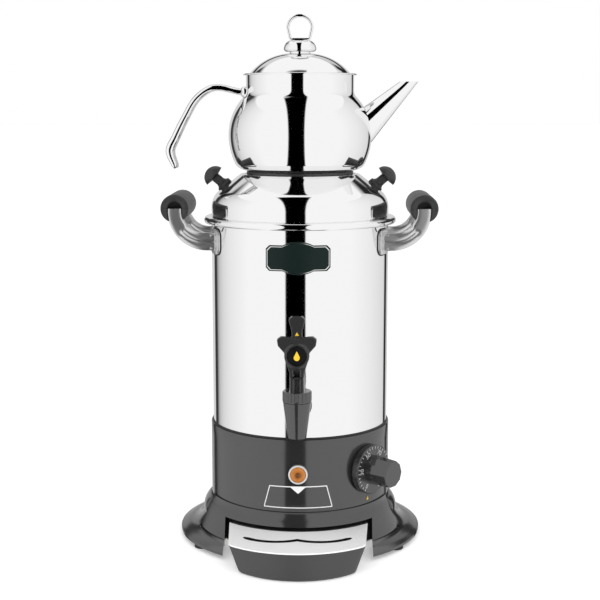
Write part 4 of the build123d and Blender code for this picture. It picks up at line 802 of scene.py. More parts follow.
@dataclass
class TankLid(Assembly):
    """Conical lid with its two mushroom knobs."""

    body: str = "tank_lid"
    wall: float = 0.001
    shoulder: float = 0.024
    shoulder_steps: int = 20
    top_radius: float = 0.0665
    slope: float = math.radians(37.4)
    seat_radius: float = 0.062
    seat_depth: float = 0.001
    steam_radius: float = 0.046
    spigot_radius: float = 0.0984
    hem: float = 0.0035
    foot_edge: float = 0.0004
    top_edge: float = 0.0008
    top_round: float = 0.1

    def corner(self, inset: float, top: float) -> float:
        """Height where the lines of cone and wall would meet.

        Args:
            inset: Distance that both lines are drawn in.
            top: Height of the lid's top.

        Returns:
            The height.
        """
        lean = math.tan(self.slope)
        outside = top - (TANK_RADIUS - self.top_radius) * lean
        return outside + inset * lean - inset / math.cos(self.slope)

    def side(self, inset: float, low: float, top: float) -> list[Pair]:
        """Line of the wall and of the round shoulder up to the cone.

        Args:
            inset: Distance that the line is drawn in.
            low: Height of the wall's foot.
            top: Height of the lid's top.

        Returns:
            The line, drawn upwards.
        """
        wall_r, corner_z = TANK_RADIUS - inset, self.corner(inset, top)
        radius = self.shoulder - inset
        run = radius * math.tan((math.pi / 2 - self.slope) / 2)
        centre = (wall_r - radius, corner_z - run)
        on_cone = (
            wall_r - run * math.cos(self.slope),
            corner_z + run * math.sin(self.slope),
        )
        return [
            (wall_r, low),
            *arc((wall_r, corner_z - run), on_cone, centre, self.shoulder_steps),
        ]

    def build(self) -> None:
        """Makes the lid as one turned shell, and copies its knobs."""
        low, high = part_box("lid_dome")
        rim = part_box("tank_shell")[1].z
        seat = high.z - self.seat_depth
        under = seat - self.wall
        lip = (
            self.top_radius + self.top_edge * math.cos(self.slope),
            high.z - self.top_edge * math.sin(self.slope),
        )
        outer = [
            (self.spigot_radius, low.z),
            (self.spigot_radius, rim),
            (TANK_RADIUS - self.foot_edge, rim),
            *self.side(0.0, rim + self.foot_edge, high.z),
            lip,
            (self.top_radius, high.z - self.top_edge * self.top_round),
            (self.top_radius - self.top_edge, high.z),
            (self.seat_radius, high.z),
            (self.seat_radius, seat),
            (self.steam_radius, seat),
        ]
        spigot = self.spigot_radius - self.wall
        cone_rise = under - self.corner(self.wall, high.z)
        inner = [
            (spigot, low.z),
            (spigot, rim + self.wall),
            *self.side(self.wall, rim + self.hem, high.z),
            (TANK_RADIUS - self.wall - cone_rise / math.tan(self.slope), under),
            (self.steam_radius, under),
        ]
        self.add(lathe("lid_shell", wall_loop(outer, inner)), ["lid_dome"])
        for node in ("lid_knob_left", "lid_knob_right"):
            self.copy(node, Edge.SOFT)


@dataclass
class Teapot(Assembly):
    """Polished pot with spout and strap handle."""

    body: str = "teapot"
    wall: float = 0.0009
    belly_radius: float = 0.0802
    belly_height: float = 0.0385
    foot_bend: float = 0.014
    low_bend: float = 0.073
    high_bend: float = 0.062
    throat_bend: float = 0.010
    neck_radius: float = 0.0603
    bend_steps: tuple[int, ...] = (12, 20, 28, 12)
    spout_root_x: float = 0.072
    spout_root: Pair = (0.020, 0.0705)
    spout_root_half: float = 0.016
    spout_tip: Pair = (0.1214, 0.098)
    spout_tip_half: Pair = (0.0104, 0.0074)
    spout_wall: float = 0.001
    spout_points: int = 96
    spout_shares: tuple[float, ...] = (0.0, 0.15, 0.3, 0.45, 0.6, 0.75, 0.9, 1.0)
    mouth_slant: float = 1.4
    # Place along X, height above the foot and thickness of the strap
    strap: tuple[Triple, ...] = (
        (-0.066, 0.0865, 0.0072),
        (-0.0955, 0.0913, 0.0076),
        (-0.1148, 0.080, 0.0082),
        (-0.1285, 0.0583, 0.0088),
        (-0.140, 0.0355, 0.0098),
        (-0.146, 0.021, 0.0104),
        (-0.1395, 0.002, 0.0072),
    )
    strap_width: float = 0.020
    strap_powers: Pair = (0.75, 0.55)
    strap_spans: int = 12
    strap_even: float = 0.01
    strap_end: Pair = (0.7, 0.8)
    # Depth and share of the full size of the bracket's sections
    bracket_profile: Profile = (
        (0.0, 0.62), (0.0006, 0.8), (0.0018, 0.93), (0.0036, 1.0), (0.006, 1.0), (0.009, 0.98),
    )
    bracket_powers: Pair = (0.7, 0.8)

    def line(self, inset: float, base: float, rim: float) -> list[Pair]:
        """Line of the pot from the middle of its floor to its rim, in four round bends.

        Args:
            inset: Distance that the line is drawn in.
            base: Height of the pot's foot.
            rim: Height of its rim.

        Returns:
            The line, drawn upwards.
        """
        wide_z = base + self.belly_height
        low_c = (self.belly_radius - self.low_bend, wide_z)
        high_c = (self.belly_radius - self.high_bend, wide_z)
        rise = self.belly_height - self.foot_bend
        reach = math.sqrt((self.low_bend - self.foot_bend) ** 2 - rise**2)
        foot_c = (low_c[0] + reach, base + self.foot_bend)
        throat_x = self.neck_radius + self.throat_bend
        climb = math.sqrt((self.high_bend + self.throat_bend) ** 2 - (throat_x - high_c[0]) ** 2)
        throat_c = (throat_x, wide_z + climb)
        floor = (foot_c[0], base + inset)
        low = towards(low_c, foot_c, self.low_bend - inset)
        wide = (self.belly_radius - inset, wide_z)
        high = towards(high_c, throat_c, self.high_bend - inset)
        neck = (self.neck_radius - inset, throat_c[1])
        ends, centres = (floor, low, wide, high, neck), (foot_c, low_c, high_c, throat_c)
        line = [(0.0, base + inset), floor]
        for start, end, centre, steps in zip(ends, ends[1:], centres, self.bend_steps):
            line += arc(start, end, centre, steps)[1:]
        return line + [(neck[0], rim)]

    def build(self) -> None:
        """Makes the pot, its spout and its handle."""
        low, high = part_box("teapot_body")
        outer, inner = (self.line(inset, low.z, high.z) for inset in (0.0, self.wall))
        self.add(lathe("pot_shell", wall_loop(outer, inner)), ["teapot_body"])
        # The base is copied in dark steel, as painted shade of the gap under the pot
        self.copy("teapot_base", finish=POT_BASE_SHADE)
        self.add(self.spout(low.z), ["teapot_spout"])
        self.add(self.handle(low.z), ["teapot_handle"])
        self.add(self.bracket(), ["teapot_bracket"])

    def bracket(self) -> bpy.types.Object:
        """Rounded lump between the neck and the strap.

        Returns:
            The lump.
        """
        low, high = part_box("teapot_bracket")
        half_y, half_z = (high.y - low.y) / 2, (high.z - low.z) / 2
        sections = []
        for along, size in self.bracket_profile:
            ring = swelled_ring((half_y * size, half_z * size), self.bracket_powers)
            sections.append(
                [(low.x + along, low.y + half_y + y, low.z + half_z + z) for y, z in ring]
            )
        return loft("strap_bracket", sections, Edge.SOFT, Ends.CAPPED)

    def spout(self, base: float) -> bpy.types.Object:
        """Tapered tube from the belly to a level mouth, with its inside.

        Args:
            base: Height of the pot's foot.

        Returns:
            The spout.
        """
        sections = [self.spout_ring(base, share, 0.0) for share in self.spout_shares]
        for share in reversed(self.spout_shares):
            sections.append(self.spout_ring(base, share, self.spout_wall))
        return loft("spout_tube", sections)

    def spout_ring(self, base: float, share: float, inset: float) -> list[Triple]:
        """Section of the spout, between its upright root and its level mouth.

        Args:
            base: Height of the pot's foot.
            share: Place along the spout, from 0 at its root to 1 at its mouth.
            inset: Distance that the section is drawn in.

        Returns:
            The section's points.
        """
        foot, head = self.spout_root
        middle, half = base + (head + foot) / 2, (head - foot) / 2 - inset
        root_half, mouth_half = self.spout_root_half - inset, self.spout_tip_half[1] - inset
        mouth_reach = self.spout_tip_half[0] - inset * self.mouth_slant
        tip_x, tip_z = self.spout_tip[0], base + self.spout_tip[1]
        ring = []
        for a in round_angles(self.spout_points):
            c, s = math.cos(a), math.sin(a)
            root = Vector((self.spout_root_x, AXIS_Y - root_half * s, middle + half * c))
            mouth = Vector((tip_x - mouth_reach * c, AXIS_Y - mouth_half * s, tip_z))
            ring.append(tuple(root.lerp(mouth, share)))
        return ring

    def handle(self, base: float) -> bpy.types.Object:
        """Strap that bows out from the neck and hangs down beside the belly.

        Args:
            base: Height of the pot's foot.

        Returns:
            The strap.
        """
        places = [(x, height) for x, height, _ in self.strap]
        thicks = [(i * self.strap_even, thick) for i, (_, _, thick) in enumerate(self.strap)]
        path = smooth_line(places, self.strap_spans)
        thick_line = smooth_line(thicks, self.strap_spans)
        last = len(path) - 1
        thin, narrow = self.strap_end
        sections = []
        for i, (x, height) in enumerate(path):
            out_x, out_z = side_of(path[max(i - 1, 0)], path[min(i + 1, last)])
            ease = math.sqrt(1 - (1 - min((last - i) / 2, 1.0)) ** 2)
            half = (
                thick_line[i][1] / 2 * max(ease, thin),
                self.strap_width / 2 * (narrow + (1 - narrow) * ease),
            )
            ring = swelled_ring(half, self.strap_powers)
            sections.append(
                [(x + out_x * d, AXIS_Y + across, base + height + out_z * d) for d, across in ring]
            )
        return loft("strap_handle", sections, Edge.SOFT, Ends.CAPPED)


@dataclass
class TeapotLid(Assembly):
    """Domed lid of the pot with its bell collar and finger loop."""

    body: str = "teapot_lid"
    brim_radius: float = 0.0636
    brim: float = 0.0016
    brim_edge: float = 0.0004
    brim_steps: int = 8
    dome_radius: float = 0.056
    dome_height: float = 0.024
    dome_lift: Pair = (0.0006, -0.0004)
    dome_steps: int = 24
    wall: float = 0.001
    crown: float = 0.008625
    screw_radius: float = 0.00225
    spigot_radius: float = 0.0588
    pedestal_radius: float = 0.0115
    pedestal_height: float = 0.0016
    bell_bore: float = 0.002
    # Radius of the bell, and share of its height
    bell_side: Profile = (
        (0.0155, 0.0), (0.0175, 0.1), (0.0183, 0.3), (0.016653, 0.7), (0.0124, 1.0),
    )
    bell_ends: tuple[Pair, Pair] = ((1.0, 0.1), (-1.0, 0.5))
    bell_spans: int = 8
    loop_half: float = 0.015
    loop_foot_half: float = 0.0125
    loop_thick: float = 0.0032
    loop_depth: float = 0.009
    loop_corner: float = 0.42
    # Places of the loop's toe beside the foot of its leg
    loop_toe: Profile = ((-0.003, 0.0), (-0.001, 0.0003), (0.0, 0.0018))
    leg_spans: int = 6
    arch_steps: int = 16
    strip_steps: int = 4

    def dome(self, radius: float, foot: float, top: float) -> list[Pair]:
        """Arc from the brim to a level crown.

        Args:
            radius: Radius of the dome's foot.
            foot: Height of its foot.
            top: Height of its crown.

        Returns:
            The arc, drawn upwards.
        """
        run, rise = radius - self.crown, top - foot
        reach = (run**2 + rise**2) / (2 * rise)
        return arc((radius, foot), (self.crown, top), (self.crown, top - reach), self.dome_steps)

    def build(self) -> None:
        """Makes the lid, the collar and the loop."""
        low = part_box("teapot_cap")[0].z
        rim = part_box("teapot_body")[1].z
        top, brim_top = rim + self.dome_height, rim + self.brim
        brim_x = self.brim_radius - self.brim_edge
        brim_c = (brim_x - self.brim_edge, rim + self.brim / 2)
        outer_lift, inner_lift = self.dome_lift
        outer = [
            (self.spigot_radius, low),
            (self.spigot_radius, rim),
            *arc((brim_x, rim), (brim_x, brim_top), brim_c, self.brim_steps),
            *self.dome(self.dome_radius, brim_top + outer_lift, top),
            (self.screw_radius, top),
        ]
        spigot = self.spigot_radius - self.wall
        inner = [
            (spigot, low),
            (spigot, rim),
            *self.dome(self.dome_radius - self.wall, brim_top + inner_lift, top - self.wall),
            (self.screw_radius, top - self.wall),
        ]
        self.add(lathe("pot_lid_shell", wall_loop(outer, inner)), ["teapot_cap"])
        bell_low, bell_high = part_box("cap_bell")
        self.add(self.bell(bell_low.z, bell_high.z), ["cap_bell"])
        self.add(self.loop(bell_high.z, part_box("cap_loop")[1].z), ["cap_loop"])

    def bell(self, low: float, high: float) -> bpy.types.Object:
        """Pedestal, rounded bell and flat top.

        Args:
            low: Height of the pedestal's foot.
            high: Height of the bell's top.

        Returns:
            The collar.
        """
        skirt = low + self.pedestal_height
        side = [(radius, skirt + share * (high - skirt)) for radius, share in self.bell_side]
        points = [
            (self.bell_bore, low),
            (self.pedestal_radius, low),
            (self.pedestal_radius, skirt),
            *smooth_line(side, self.bell_spans, *self.bell_ends),
            (self.bell_bore, high),
        ]
        return lathe("bell_collar", points)

    def loop(self, foot: float, top: float) -> bpy.types.Object:
        """Arched strap on the bell: a round top on two slightly closing legs.

        Args:
            foot: Height of the bell's top.
            top: Height of the loop's top.

        Returns:
            The loop.
        """
        half = self.loop_half - self.loop_thick / 2
        foot_half = self.loop_foot_half - self.loop_thick / 2
        centre, base = top - self.loop_half, foot + self.loop_thick / 2
        line = [(foot_half + x, base + z) for x, z in self.loop_toe]
        heel = line[-1]
        line += [mixed(heel, (half, centre), k / self.leg_spans) for k in range(1, self.leg_spans)]
        line += bend((0.0, centre), half, 0.0, 90.0, self.arch_steps)
        line += [(-x, z) for x, z in reversed(line[:-1])]
        corner = self.loop_thick * self.loop_corner
        strip = rounded_rectangle(self.loop_thick, self.loop_depth, corner, self.strip_steps)
        sections = []
        for i, (x, z) in enumerate(line):
            out_x, out_z = side_of(line[i - 1], line[(i + 1) % len(line)])
            sections.append([(x + out_x * d, AXIS_Y + y, z + out_z * d) for d, y in strip])
        return loft("finger_loop", sections, Edge.SOFT, Ends.JOINED)


@dataclass
class SideHandles(Assembly):
    """Two grips on cast arms with saddles on the tank."""

    body: str = "boiler"
    arm_y: float = 0.0388
    arm_thick: float = 0.009
    arm_points: int = 96
    arm_steps: int = 24
    root_x: float = 0.0916
    foot_z: float = 0.3425
    foot_height: float = 0.020
    tab_width: float = 0.0156
    tab_height: float = 0.003
    grip_x: float = 0.1376
    grip_z: float = 0.379
    saddle: Pair = (0.026, 0.028)
    saddle_thick: float = 0.0032
    saddle_corner: float = 0.008
    saddle_bevel: float = 0.0014
    # Near-black plate under each saddle, proud round it: painted shade of the gap at the tank
    shade_lip: float = 0.0012
    shade_thick: float = 0.0007
    rib_depth: float = 0.0022
    rib_fade: int = 6
    # Sections between which the ribs end, and the swelling of ribbed and plain sections
    tab_from: Pair = (13.0, 15.0)
    edge_powers: Pair = (0.9, 0.5)
    face_powers: Pair = (0.45, 0.2)

    def build(self) -> None:
        """Makes the four arms with a thin dark plate of painted shade round each saddle, and copies
        the grips.
        """
        for side_x, word_x in ((-1, "left"), (1, "right")):
            for side_y, word_y in ((-1, "front"), (1, "rear")):
                name = f"{word_x}_{word_y}_arm"
                side = (side_x, side_y)
                self.add(self.arm(f"{name}_casting", side), [name])
                shade_rim = self.plate(f"{name}_pad", side, self.shade_lip, self.shade_thick)
                self.add(shade_rim, finish=GAP_SHADE, slot="rubber")
            for half in ("upper", "lower"):
                self.copy(f"{word_x}_grip_{half}")

    def arm(self, name: str, side: tuple[int, int]) -> bpy.types.Object:
        """Ribbed quarter-ring arm with its saddle.

        Args:
            name: Name of the new piece.
            side: Sign of the arm's place along X and along Y.

        Returns:
            The arm.
        """
        lines = []
        for half_x, half_z in ((1, -1), (-1, 1)):
            x = self.grip_x + half_x * self.tab_width / 2
            z = self.foot_z + half_z * self.foot_height / 2
            radius = self.grip_z - z - self.tab_height
            quarter = bend((x - radius, z + radius), radius, -90.0, 0.0, self.arm_steps)
            lines.append([(self.root_x, z), *quarter, (x, self.grip_z)])
        first, last = self.tab_from
        sections = []
        for i, (outer, inner) in enumerate(zip(*lines)):
            plain = min(max((i - first) / (last - first), 0.0), 1.0)
            sections.append(self.arm_ring(outer, inner, plain, side))
        bar = loft(f"{name}_bar", sections, ends=Ends.CAPPED)
        foot = self.plate(f"{name}_saddle", side, 0.0, self.saddle_thick, self.saddle_bevel)
        return joined(name, [bar, foot])

    def arm_ring(
        self, outer: Pair, inner: Pair, plain: float, side: tuple[int, int]
    ) -> list[Triple]:
        """Section of an arm, whose faces carry ribs along it or are plain at its tab.

        Args:
            outer: Point on the arm's outer line.
            inner: Point on its inner line.
            plain: Share of the plain tab in the section, from 0 to 1.
            side: Sign of the arm's place along X and along Y.

        Returns:
            The section's points.
        """
        powers = (self.edge_powers, self.face_powers)
        edge_power, face_power = (ribbed + (flat - ribbed) * plain for ribbed, flat in powers)
        ring = []
        for a in round_angles(self.arm_points):
            across, through = math.cos(a), math.sin(a)
            x, z = mixed(inner, outer, 0.5 + 0.5 * swelled(across, edge_power))
            groove = 1 - math.sqrt(abs(math.sin(math.pi * across)))
            ribs = self.rib_depth * (1 - plain) * groove * (1 - across**self.rib_fade)
            half = max(self.arm_thick / 2 * abs(through) ** face_power - ribs, 0.0)
            y = AXIS_Y + side[1] * self.arm_y + math.copysign(half, through)
            ring.append((side[0] * x, y, z))
        return ring

    def plate(
        self, name: str, side: tuple[int, int], lip: float, thick: float, bevel: float = 0.0
    ) -> bpy.types.Object:
        """Plate on the tank under an arm.

        Args:
            name: Name of the new piece.
            side: Sign of the arm's place along X and along Y.
            lip: Distance that the plate stands out round the saddle.
            thick: Thickness of the plate.
            bevel: Width of the rounded edge of its face.

        Returns:
            The plate.
        """
        turn = math.pi / 2 + side[1] * math.asin(self.arm_y / TANK_RADIUS)
        width, height = (size + 2 * lip for size in self.saddle)
        outline = rounded_rectangle(width, height, self.saddle_corner + lip)
        return tank_plate(name, outline, self.foot_z, thick, bevel, side[0] * turn)


@dataclass
class HeaterBase(Assembly):
    """Black base, front moulding and heater sleeve with lamp and label."""

    body: str = "boiler"
    sleeve_inner: float = 0.1003
    sleeve_edge: float = 0.0008
    sleeve_round: float = 0.3
    sleeve_spans: int = 8
    gap_shade_radius: Pair = (0.10005, 0.1009)
    gap_shade_z: Pair = (0.132, 0.1352)
    gap_shade_edge: Pair = (0.0004, 0.0005)
    print_proud: float = 0.0002
    print_spans: int = 24
    label_top: float = 0.0815
    label_foot: float = 0.0577
    label_top_half: float = 0.0315
    label_foot_half: float = 0.038
    label_line: float = 0.0010
    pointer_half: float = 0.0095
    pointer_tip_half: float = 0.0006
    pointer_height: float = 0.0078
    index_z: float = 0.0565
    index_half: float = 0.0019
    index_tip_half: float = 0.0003
    index_height: float = 0.0036
    lamp_z: float = 0.0953
    lens_radius: float = 0.0084
    lens_dome: float = 0.0022
    lens_groove: float = 0.0005
    lens_spokes: int = 28
    lens_shares: tuple[float, ...] = (0.15, 0.3, 0.45, 0.6, 0.75, 0.88, 1.0)
    core_radius: float = 0.0032
    core_proud: float = 0.00005
    core_depth: float = 0.001

    def build(self) -> None:
        """Makes the sleeve, its lamp, its print and a painted shade ring, and copies the moulded
        pieces.
        """
        self.add(self.sleeve(), ["heater_housing"])
        for node in ("base_flange", "front_fascia", "cable_gland", "rubber_feet", "bottom_plate"):
            self.copy(node)
        self.copy("lamp_bezel", Edge.SOFT, finish=BEZEL_STEEL)
        self.lamp()
        self.label()
        # Dark ring where the tank meets the sleeve: painted shade of the gap between them
        (r0, r1), (z0, z1) = self.gap_shade_radius, self.gap_shade_z
        edge_r, edge_z = self.gap_shade_edge
        outline = [(r0, z0), (r1, z0), (r1, z1 - edge_z), (r1 - edge_r, z1), (r0, z1)]
        self.add(lathe("tank_gap_shade", outline), finish=GAP_SHADE, slot="rubber")

    def sleeve(self) -> bpy.types.Object:
        """Plain tube with a rounded upper edge.

        Returns:
            The sleeve.
        """
        low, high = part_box("heater_housing")
        edge, rounding = self.sleeve_edge, self.sleeve_edge * self.sleeve_round
        foot, top = (SLEEVE_RADIUS, low.z), (SLEEVE_RADIUS, high.z - edge)
        outer = [mixed(foot, top, i / self.sleeve_spans) for i in range(self.sleeve_spans + 1)]
        outer += [(SLEEVE_RADIUS - rounding, high.z - rounding), (SLEEVE_RADIUS - edge, high.z)]
        inner = [(self.sleeve_inner, low.z), (self.sleeve_inner, high.z)]
        return lathe("heater_sleeve", wall_loop(outer, inner))

    def lamp(self) -> None:
        """Makes the faceted lens and its dark core."""
        low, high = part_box("lamp_lens")
        lens = self.lens("lamp_lens_facets", self.lens_radius, low.y, high.y, self.lens_groove)
        self.add(lens, ["lamp_lens"])
        front, back = low.y - self.core_proud, low.y + self.core_depth
        core = self.lens("lamp_core", self.core_radius, front, back, 0.0)
        self.add(core, finish=AMBER_CORE, slot="amber_lens")

    def lens(
        self, name: str, radius: float, front: float, back: float, groove: float
    ) -> bpy.types.Object:
        """Domed disc that faces the front, with grooves that run out from its middle.

        Args:
            name: Name of the new piece.
            radius: Radius of the disc.
            front: Place of the dome's top along Y.
            back: Place of the flat back along Y.
            groove: Depth of the grooves at half the lens's radius.

        Returns:
            The lens.
        """
        sections = [[(0.0, front, self.lamp_z)]]
        for share in self.lens_shares:
            reach, sink = radius * share, groove * 4 * share * (1 - share)
            y = front + self.lens_dome * (reach / self.lens_radius) ** 2
            angles = round_angles(2 * self.lens_spokes)
            sections.append([
                (reach * math.cos(a), y + sink * (i % 2), self.lamp_z + reach * math.sin(a))
                for i, a in enumerate(angles)
            ])
        sections.append([(x, back, z) for x, _, z in sections[-1]])
        sections.append([(0.0, back, self.lamp_z)])
        return loft(name, sections)

    def label(self) -> None:
        """Prints a plain frame with a pointer under the lamp, and the dial's index."""
        top, foot = self.label_top, self.label_foot
        a, b = self.label_top_half, self.label_foot_half
        line = self.label_line
        slant, half = line / 3, line / 2
        tip, tip_z = self.pointer_tip_half, top - self.pointer_height
        strips = (
            ((-a, top), (a, top), (a - slant, top - line), (-a + slant, top - line)),
            ((-b, foot), (b, foot), (b + slant, foot - line), (-b - slant, foot - line)),
            ((-a - half, top), (-a + half, top), (-b + half, foot), (-b - half, foot)),
            ((a - half, top), (a + half, top), (b + half, foot), (b - half, foot)),
            ((-self.pointer_half, top), (self.pointer_half, top), (tip, tip_z), (-tip, tip_z)),
        )
        pieces = [self.printed(f"label_{i}", strip) for i, strip in enumerate(strips)]
        self.add(joined("label_frame", pieces), finish=PRINT_WHITE, slot="black_gloss")
        low, high = self.index_z, self.index_z + self.index_height
        half, tip = self.index_half, self.index_tip_half
        corners = ((-half, low), (half, low), (tip, high), (-tip, high))
        index = self.printed("dial_index", corners, DIAL_TURN)
        self.add(index, finish=PRINT_YELLOW, slot="black_gloss")

    def printed(
        self, name: str, corners: Sequence[Pair], turn: float = 0.0
    ) -> bpy.types.Object:
        """Flat strip of ink on the sleeve.

        Args:
            name: Name of the new piece.
            corners: Its four corners in order, as (across, up) points.
            turn: Turn towards +X, in radians.

        Returns:
            The strip.
        """
        low, high = SLEEVE_RADIUS - self.print_proud, SLEEVE_RADIUS + self.print_proud
        sections = []
        for i in range(self.print_spans + 1):
            share = i / self.print_spans
            one, other = mixed(*corners[:2], share), mixed(*corners[:1:-1], share)
            ring = ((one, low), (one, high), (other, high), (other, low))
            sections.append([on_drum(*point, radius, turn) for point, radius in ring])
        return loft(name, sections, ends=Ends.CAPPED)


@dataclass
class Dial(Assembly):
    """Thermostat dial with its scale and faceted grip."""

    body: str = "thermostat_knob"
    z: float = 0.0926
    face: float = 0.0088
    sweep: float = math.radians(290.0)
    tick_radius: float = 0.0248
    tick_count: int = 28
    tick_size: Triple = (0.0026, 0.0006, 0.0002)
    numbers: tuple[str, ...] = ("0", "30", "50", "70", "90", "110")
    digit_radius: float = 0.0198
    digit_height: float = 0.0074
    digit_depth: float = 0.0001

    def build(self) -> None:
        """Copies the dial and its grip, and prints the scale."""
        for node in ("dial_skirt", "knob_grip"):
            self.copy(node, Edge.FACET, finish=GLOSS_BLACK)
        self.add(self.ticks(), finish=PRINT_GREY, slot="knob_black")
        digits = [self.digit(i, text) for i, text in enumerate(self.numbers)]
        self.add(joined("dial_digits", digits), finish=PRINT_GREY, slot="knob_black")

    def axis(self) -> Matrix:
        """Frame on the dial's axis.

        Returns:
            The frame, with X across, Y up and Z out of the sleeve.
        """
        s, c = math.sin(DIAL_TURN), math.cos(DIAL_TURN)
        across, up, out = Vector((c, s, 0.0)), Vector((0.0, 0.0, 1.0)), Vector((s, -c, 0.0))
        matrix = Matrix((across, up, out)).transposed().to_4x4()
        matrix.translation = Vector(on_drum(0.0, self.z, SLEEVE_RADIUS, DIAL_TURN))
        return matrix

    def first_angle(self) -> float:
        """Angle from straight down to each end of the scale."""
        return (2 * math.pi - self.sweep) / 2

    def ticks(self) -> bpy.types.Object:
        """Scale marks on the dial's face, placed by a node tree.

        Returns:
            The marks as one mesh.
        """
        tree, sockets = self.tick_tree()
        obj = bpy.data.objects.new("dial_ticks", bpy.data.meshes.new("dial_ticks"))
        bpy.context.scene.collection.objects.link(obj)
        modifier = obj.modifiers.new("ticks", "NODES")
        modifier.node_group = tree
        modifier[sockets["Count"]] = self.tick_count
        modifier[sockets["Radius"]] = self.tick_radius
        modifier[sockets["Sweep"]] = self.sweep
        modifier[sockets["Size"]] = self.tick_size
        settle(obj)
        on_face = Matrix.Translation((0, 0, self.face))
        start = Matrix.Rotation(self.first_angle() - math.pi / 2, 4, "Z")
        obj.data.transform(self.axis() @ on_face @ start)
        return obj

    def tick_tree(self) -> tuple[bpy.types.NodeTree, dict[str, str]]:
        """Node tree that sets marks round an arc.

        Returns:
            The tree, and the identifiers of its inputs by their names.
        """
        tree = bpy.data.node_groups.new("dial ticks", "GeometryNodeTree")
        face, nodes = tree.interface, tree.nodes
        face.new_socket(name="Geometry", in_out="OUTPUT", socket_type="NodeSocketGeometry")
        kinds = {"Count": "Int", "Radius": "Float", "Sweep": "Float", "Size": "Vector"}
        sockets = {}
        for name, kind in kinds.items():
            socket = face.new_socket(name=name, in_out="INPUT", socket_type=f"NodeSocket{kind}")
            sockets[name] = socket.identifier
        source, result = nodes.new("NodeGroupInput"), nodes.new("NodeGroupOutput")
        line, index = nodes.new("GeometryNodeMeshLine"), nodes.new("GeometryNodeInputIndex")
        last, share, angle = (nodes.new("ShaderNodeMath") for _ in range(3))
        last.operation, share.operation, angle.operation = "SUBTRACT", "DIVIDE", "MULTIPLY"
        last.inputs[1].default_value = 1.0
        turn, arm = (nodes.new("ShaderNodeCombineXYZ") for _ in range(2))
        spin = nodes.new("ShaderNodeVectorRotate")
        spin.rotation_type = "Z_AXIS"
        move = nodes.new("GeometryNodeSetPosition")
        tick = nodes.new("GeometryNodeMeshCube")
        place = nodes.new("GeometryNodeInstanceOnPoints")
        solid = nodes.new("GeometryNodeRealizeInstances")
        ink = nodes.new("GeometryNodeSetMaterial")
        ink.inputs["Material"].default_value = PRINT_GREY.material()
        for start, end in (
            (source.outputs["Count"], line.inputs["Count"]),
            (source.outputs["Count"], last.inputs[0]),
            (index.outputs[0], share.inputs[0]),
            (last.outputs[0], share.inputs[1]),
            (share.outputs[0], angle.inputs[0]),
            (source.outputs["Sweep"], angle.inputs[1]),
            (angle.outputs[0], turn.inputs["Z"]),
            (angle.outputs[0], spin.inputs["Angle"]),
            (source.outputs["Radius"], arm.inputs["X"]),
            (arm.outputs[0], spin.inputs["Vector"]),
            (line.outputs[0], move.inputs["Geometry"]),
            (spin.outputs[0], move.inputs["Position"]),
            (source.outputs["Size"], tick.inputs["Size"]),
            (move.outputs[0], place.inputs["Points"]),
            (tick.outputs[0], place.inputs["Instance"]),
            (turn.outputs[0], place.inputs["Rotation"]),
            (place.outputs[0], solid.inputs[0]),
            (solid.outputs[0], ink.inputs["Geometry"]),
            (ink.outputs[0], result.inputs["Geometry"]),
        ):
            tree.links.new(start, end)
        return tree, sockets

    def digit(self, index: int, text: str) -> bpy.types.Object:
        """One number of the scale as a thin mesh on the dial's face.

        Args:
            index: Place of the number in the scale.
            text: The number.

        Returns:
            The number's mesh.
        """
        name = f"digit_{index}"
        curve = bpy.data.curves.new(name, "FONT")
        curve.body = text
        curve.size, curve.extrude = self.digit_height, self.digit_depth
        curve.align_x = curve.align_y = "CENTER"
        flat = bpy.data.objects.new(name, curve)
        bpy.context.scene.collection.objects.link(flat)
        mesh = settled_mesh(flat)
        bpy.data.objects.remove(flat)
        a = -math.pi / 2 - self.first_angle() - self.sweep * index / (len(self.numbers) - 1)
        reach = self.digit_radius
        spot = Matrix.Translation((reach * math.cos(a), reach * math.sin(a), self.face))
        mesh.transform(self.axis() @ spot @ Matrix.Rotation(a - math.pi / 2, 4, "Z"))
        made = bpy.data.objects.new(name, mesh)
        bpy.context.scene.collection.objects.link(made)
        return made


@dataclass
class Tap(Assembly):
    """Moulded tap body and bonnet on the boiler, with the spring between bonnet and stem."""

    body: str = "boiler"
    bonnet_voxel: float = 0.00032
    bonnet_relax: int = 4
    stem_travel: float = 0.0043

    def build(self) -> None:
        """Copies the fixed pieces of the tap, and the spring."""
        self.copy("tap_body", finish=GLOSS_BLACK)
        self.copy(
            "tap_bonnet", voxel=self.bonnet_voxel, relax=self.bonnet_relax, finish=GLOSS_BLACK
        )
        spring = self.copy("tap_spring", Edge.SOFT)
        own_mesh(spring)


@dataclass
class TapStem(Assembly):
    """Valve stem whose head shows under the lever, coloured dark as painted shade."""

    body: str = "tap_stem"

    def build(self) -> None:
        """Copies the stem in a near-black colour that paints the shade under the lever."""
        self.copy("tap_stem", Edge.SOFT, finish=STEM_SHADE)


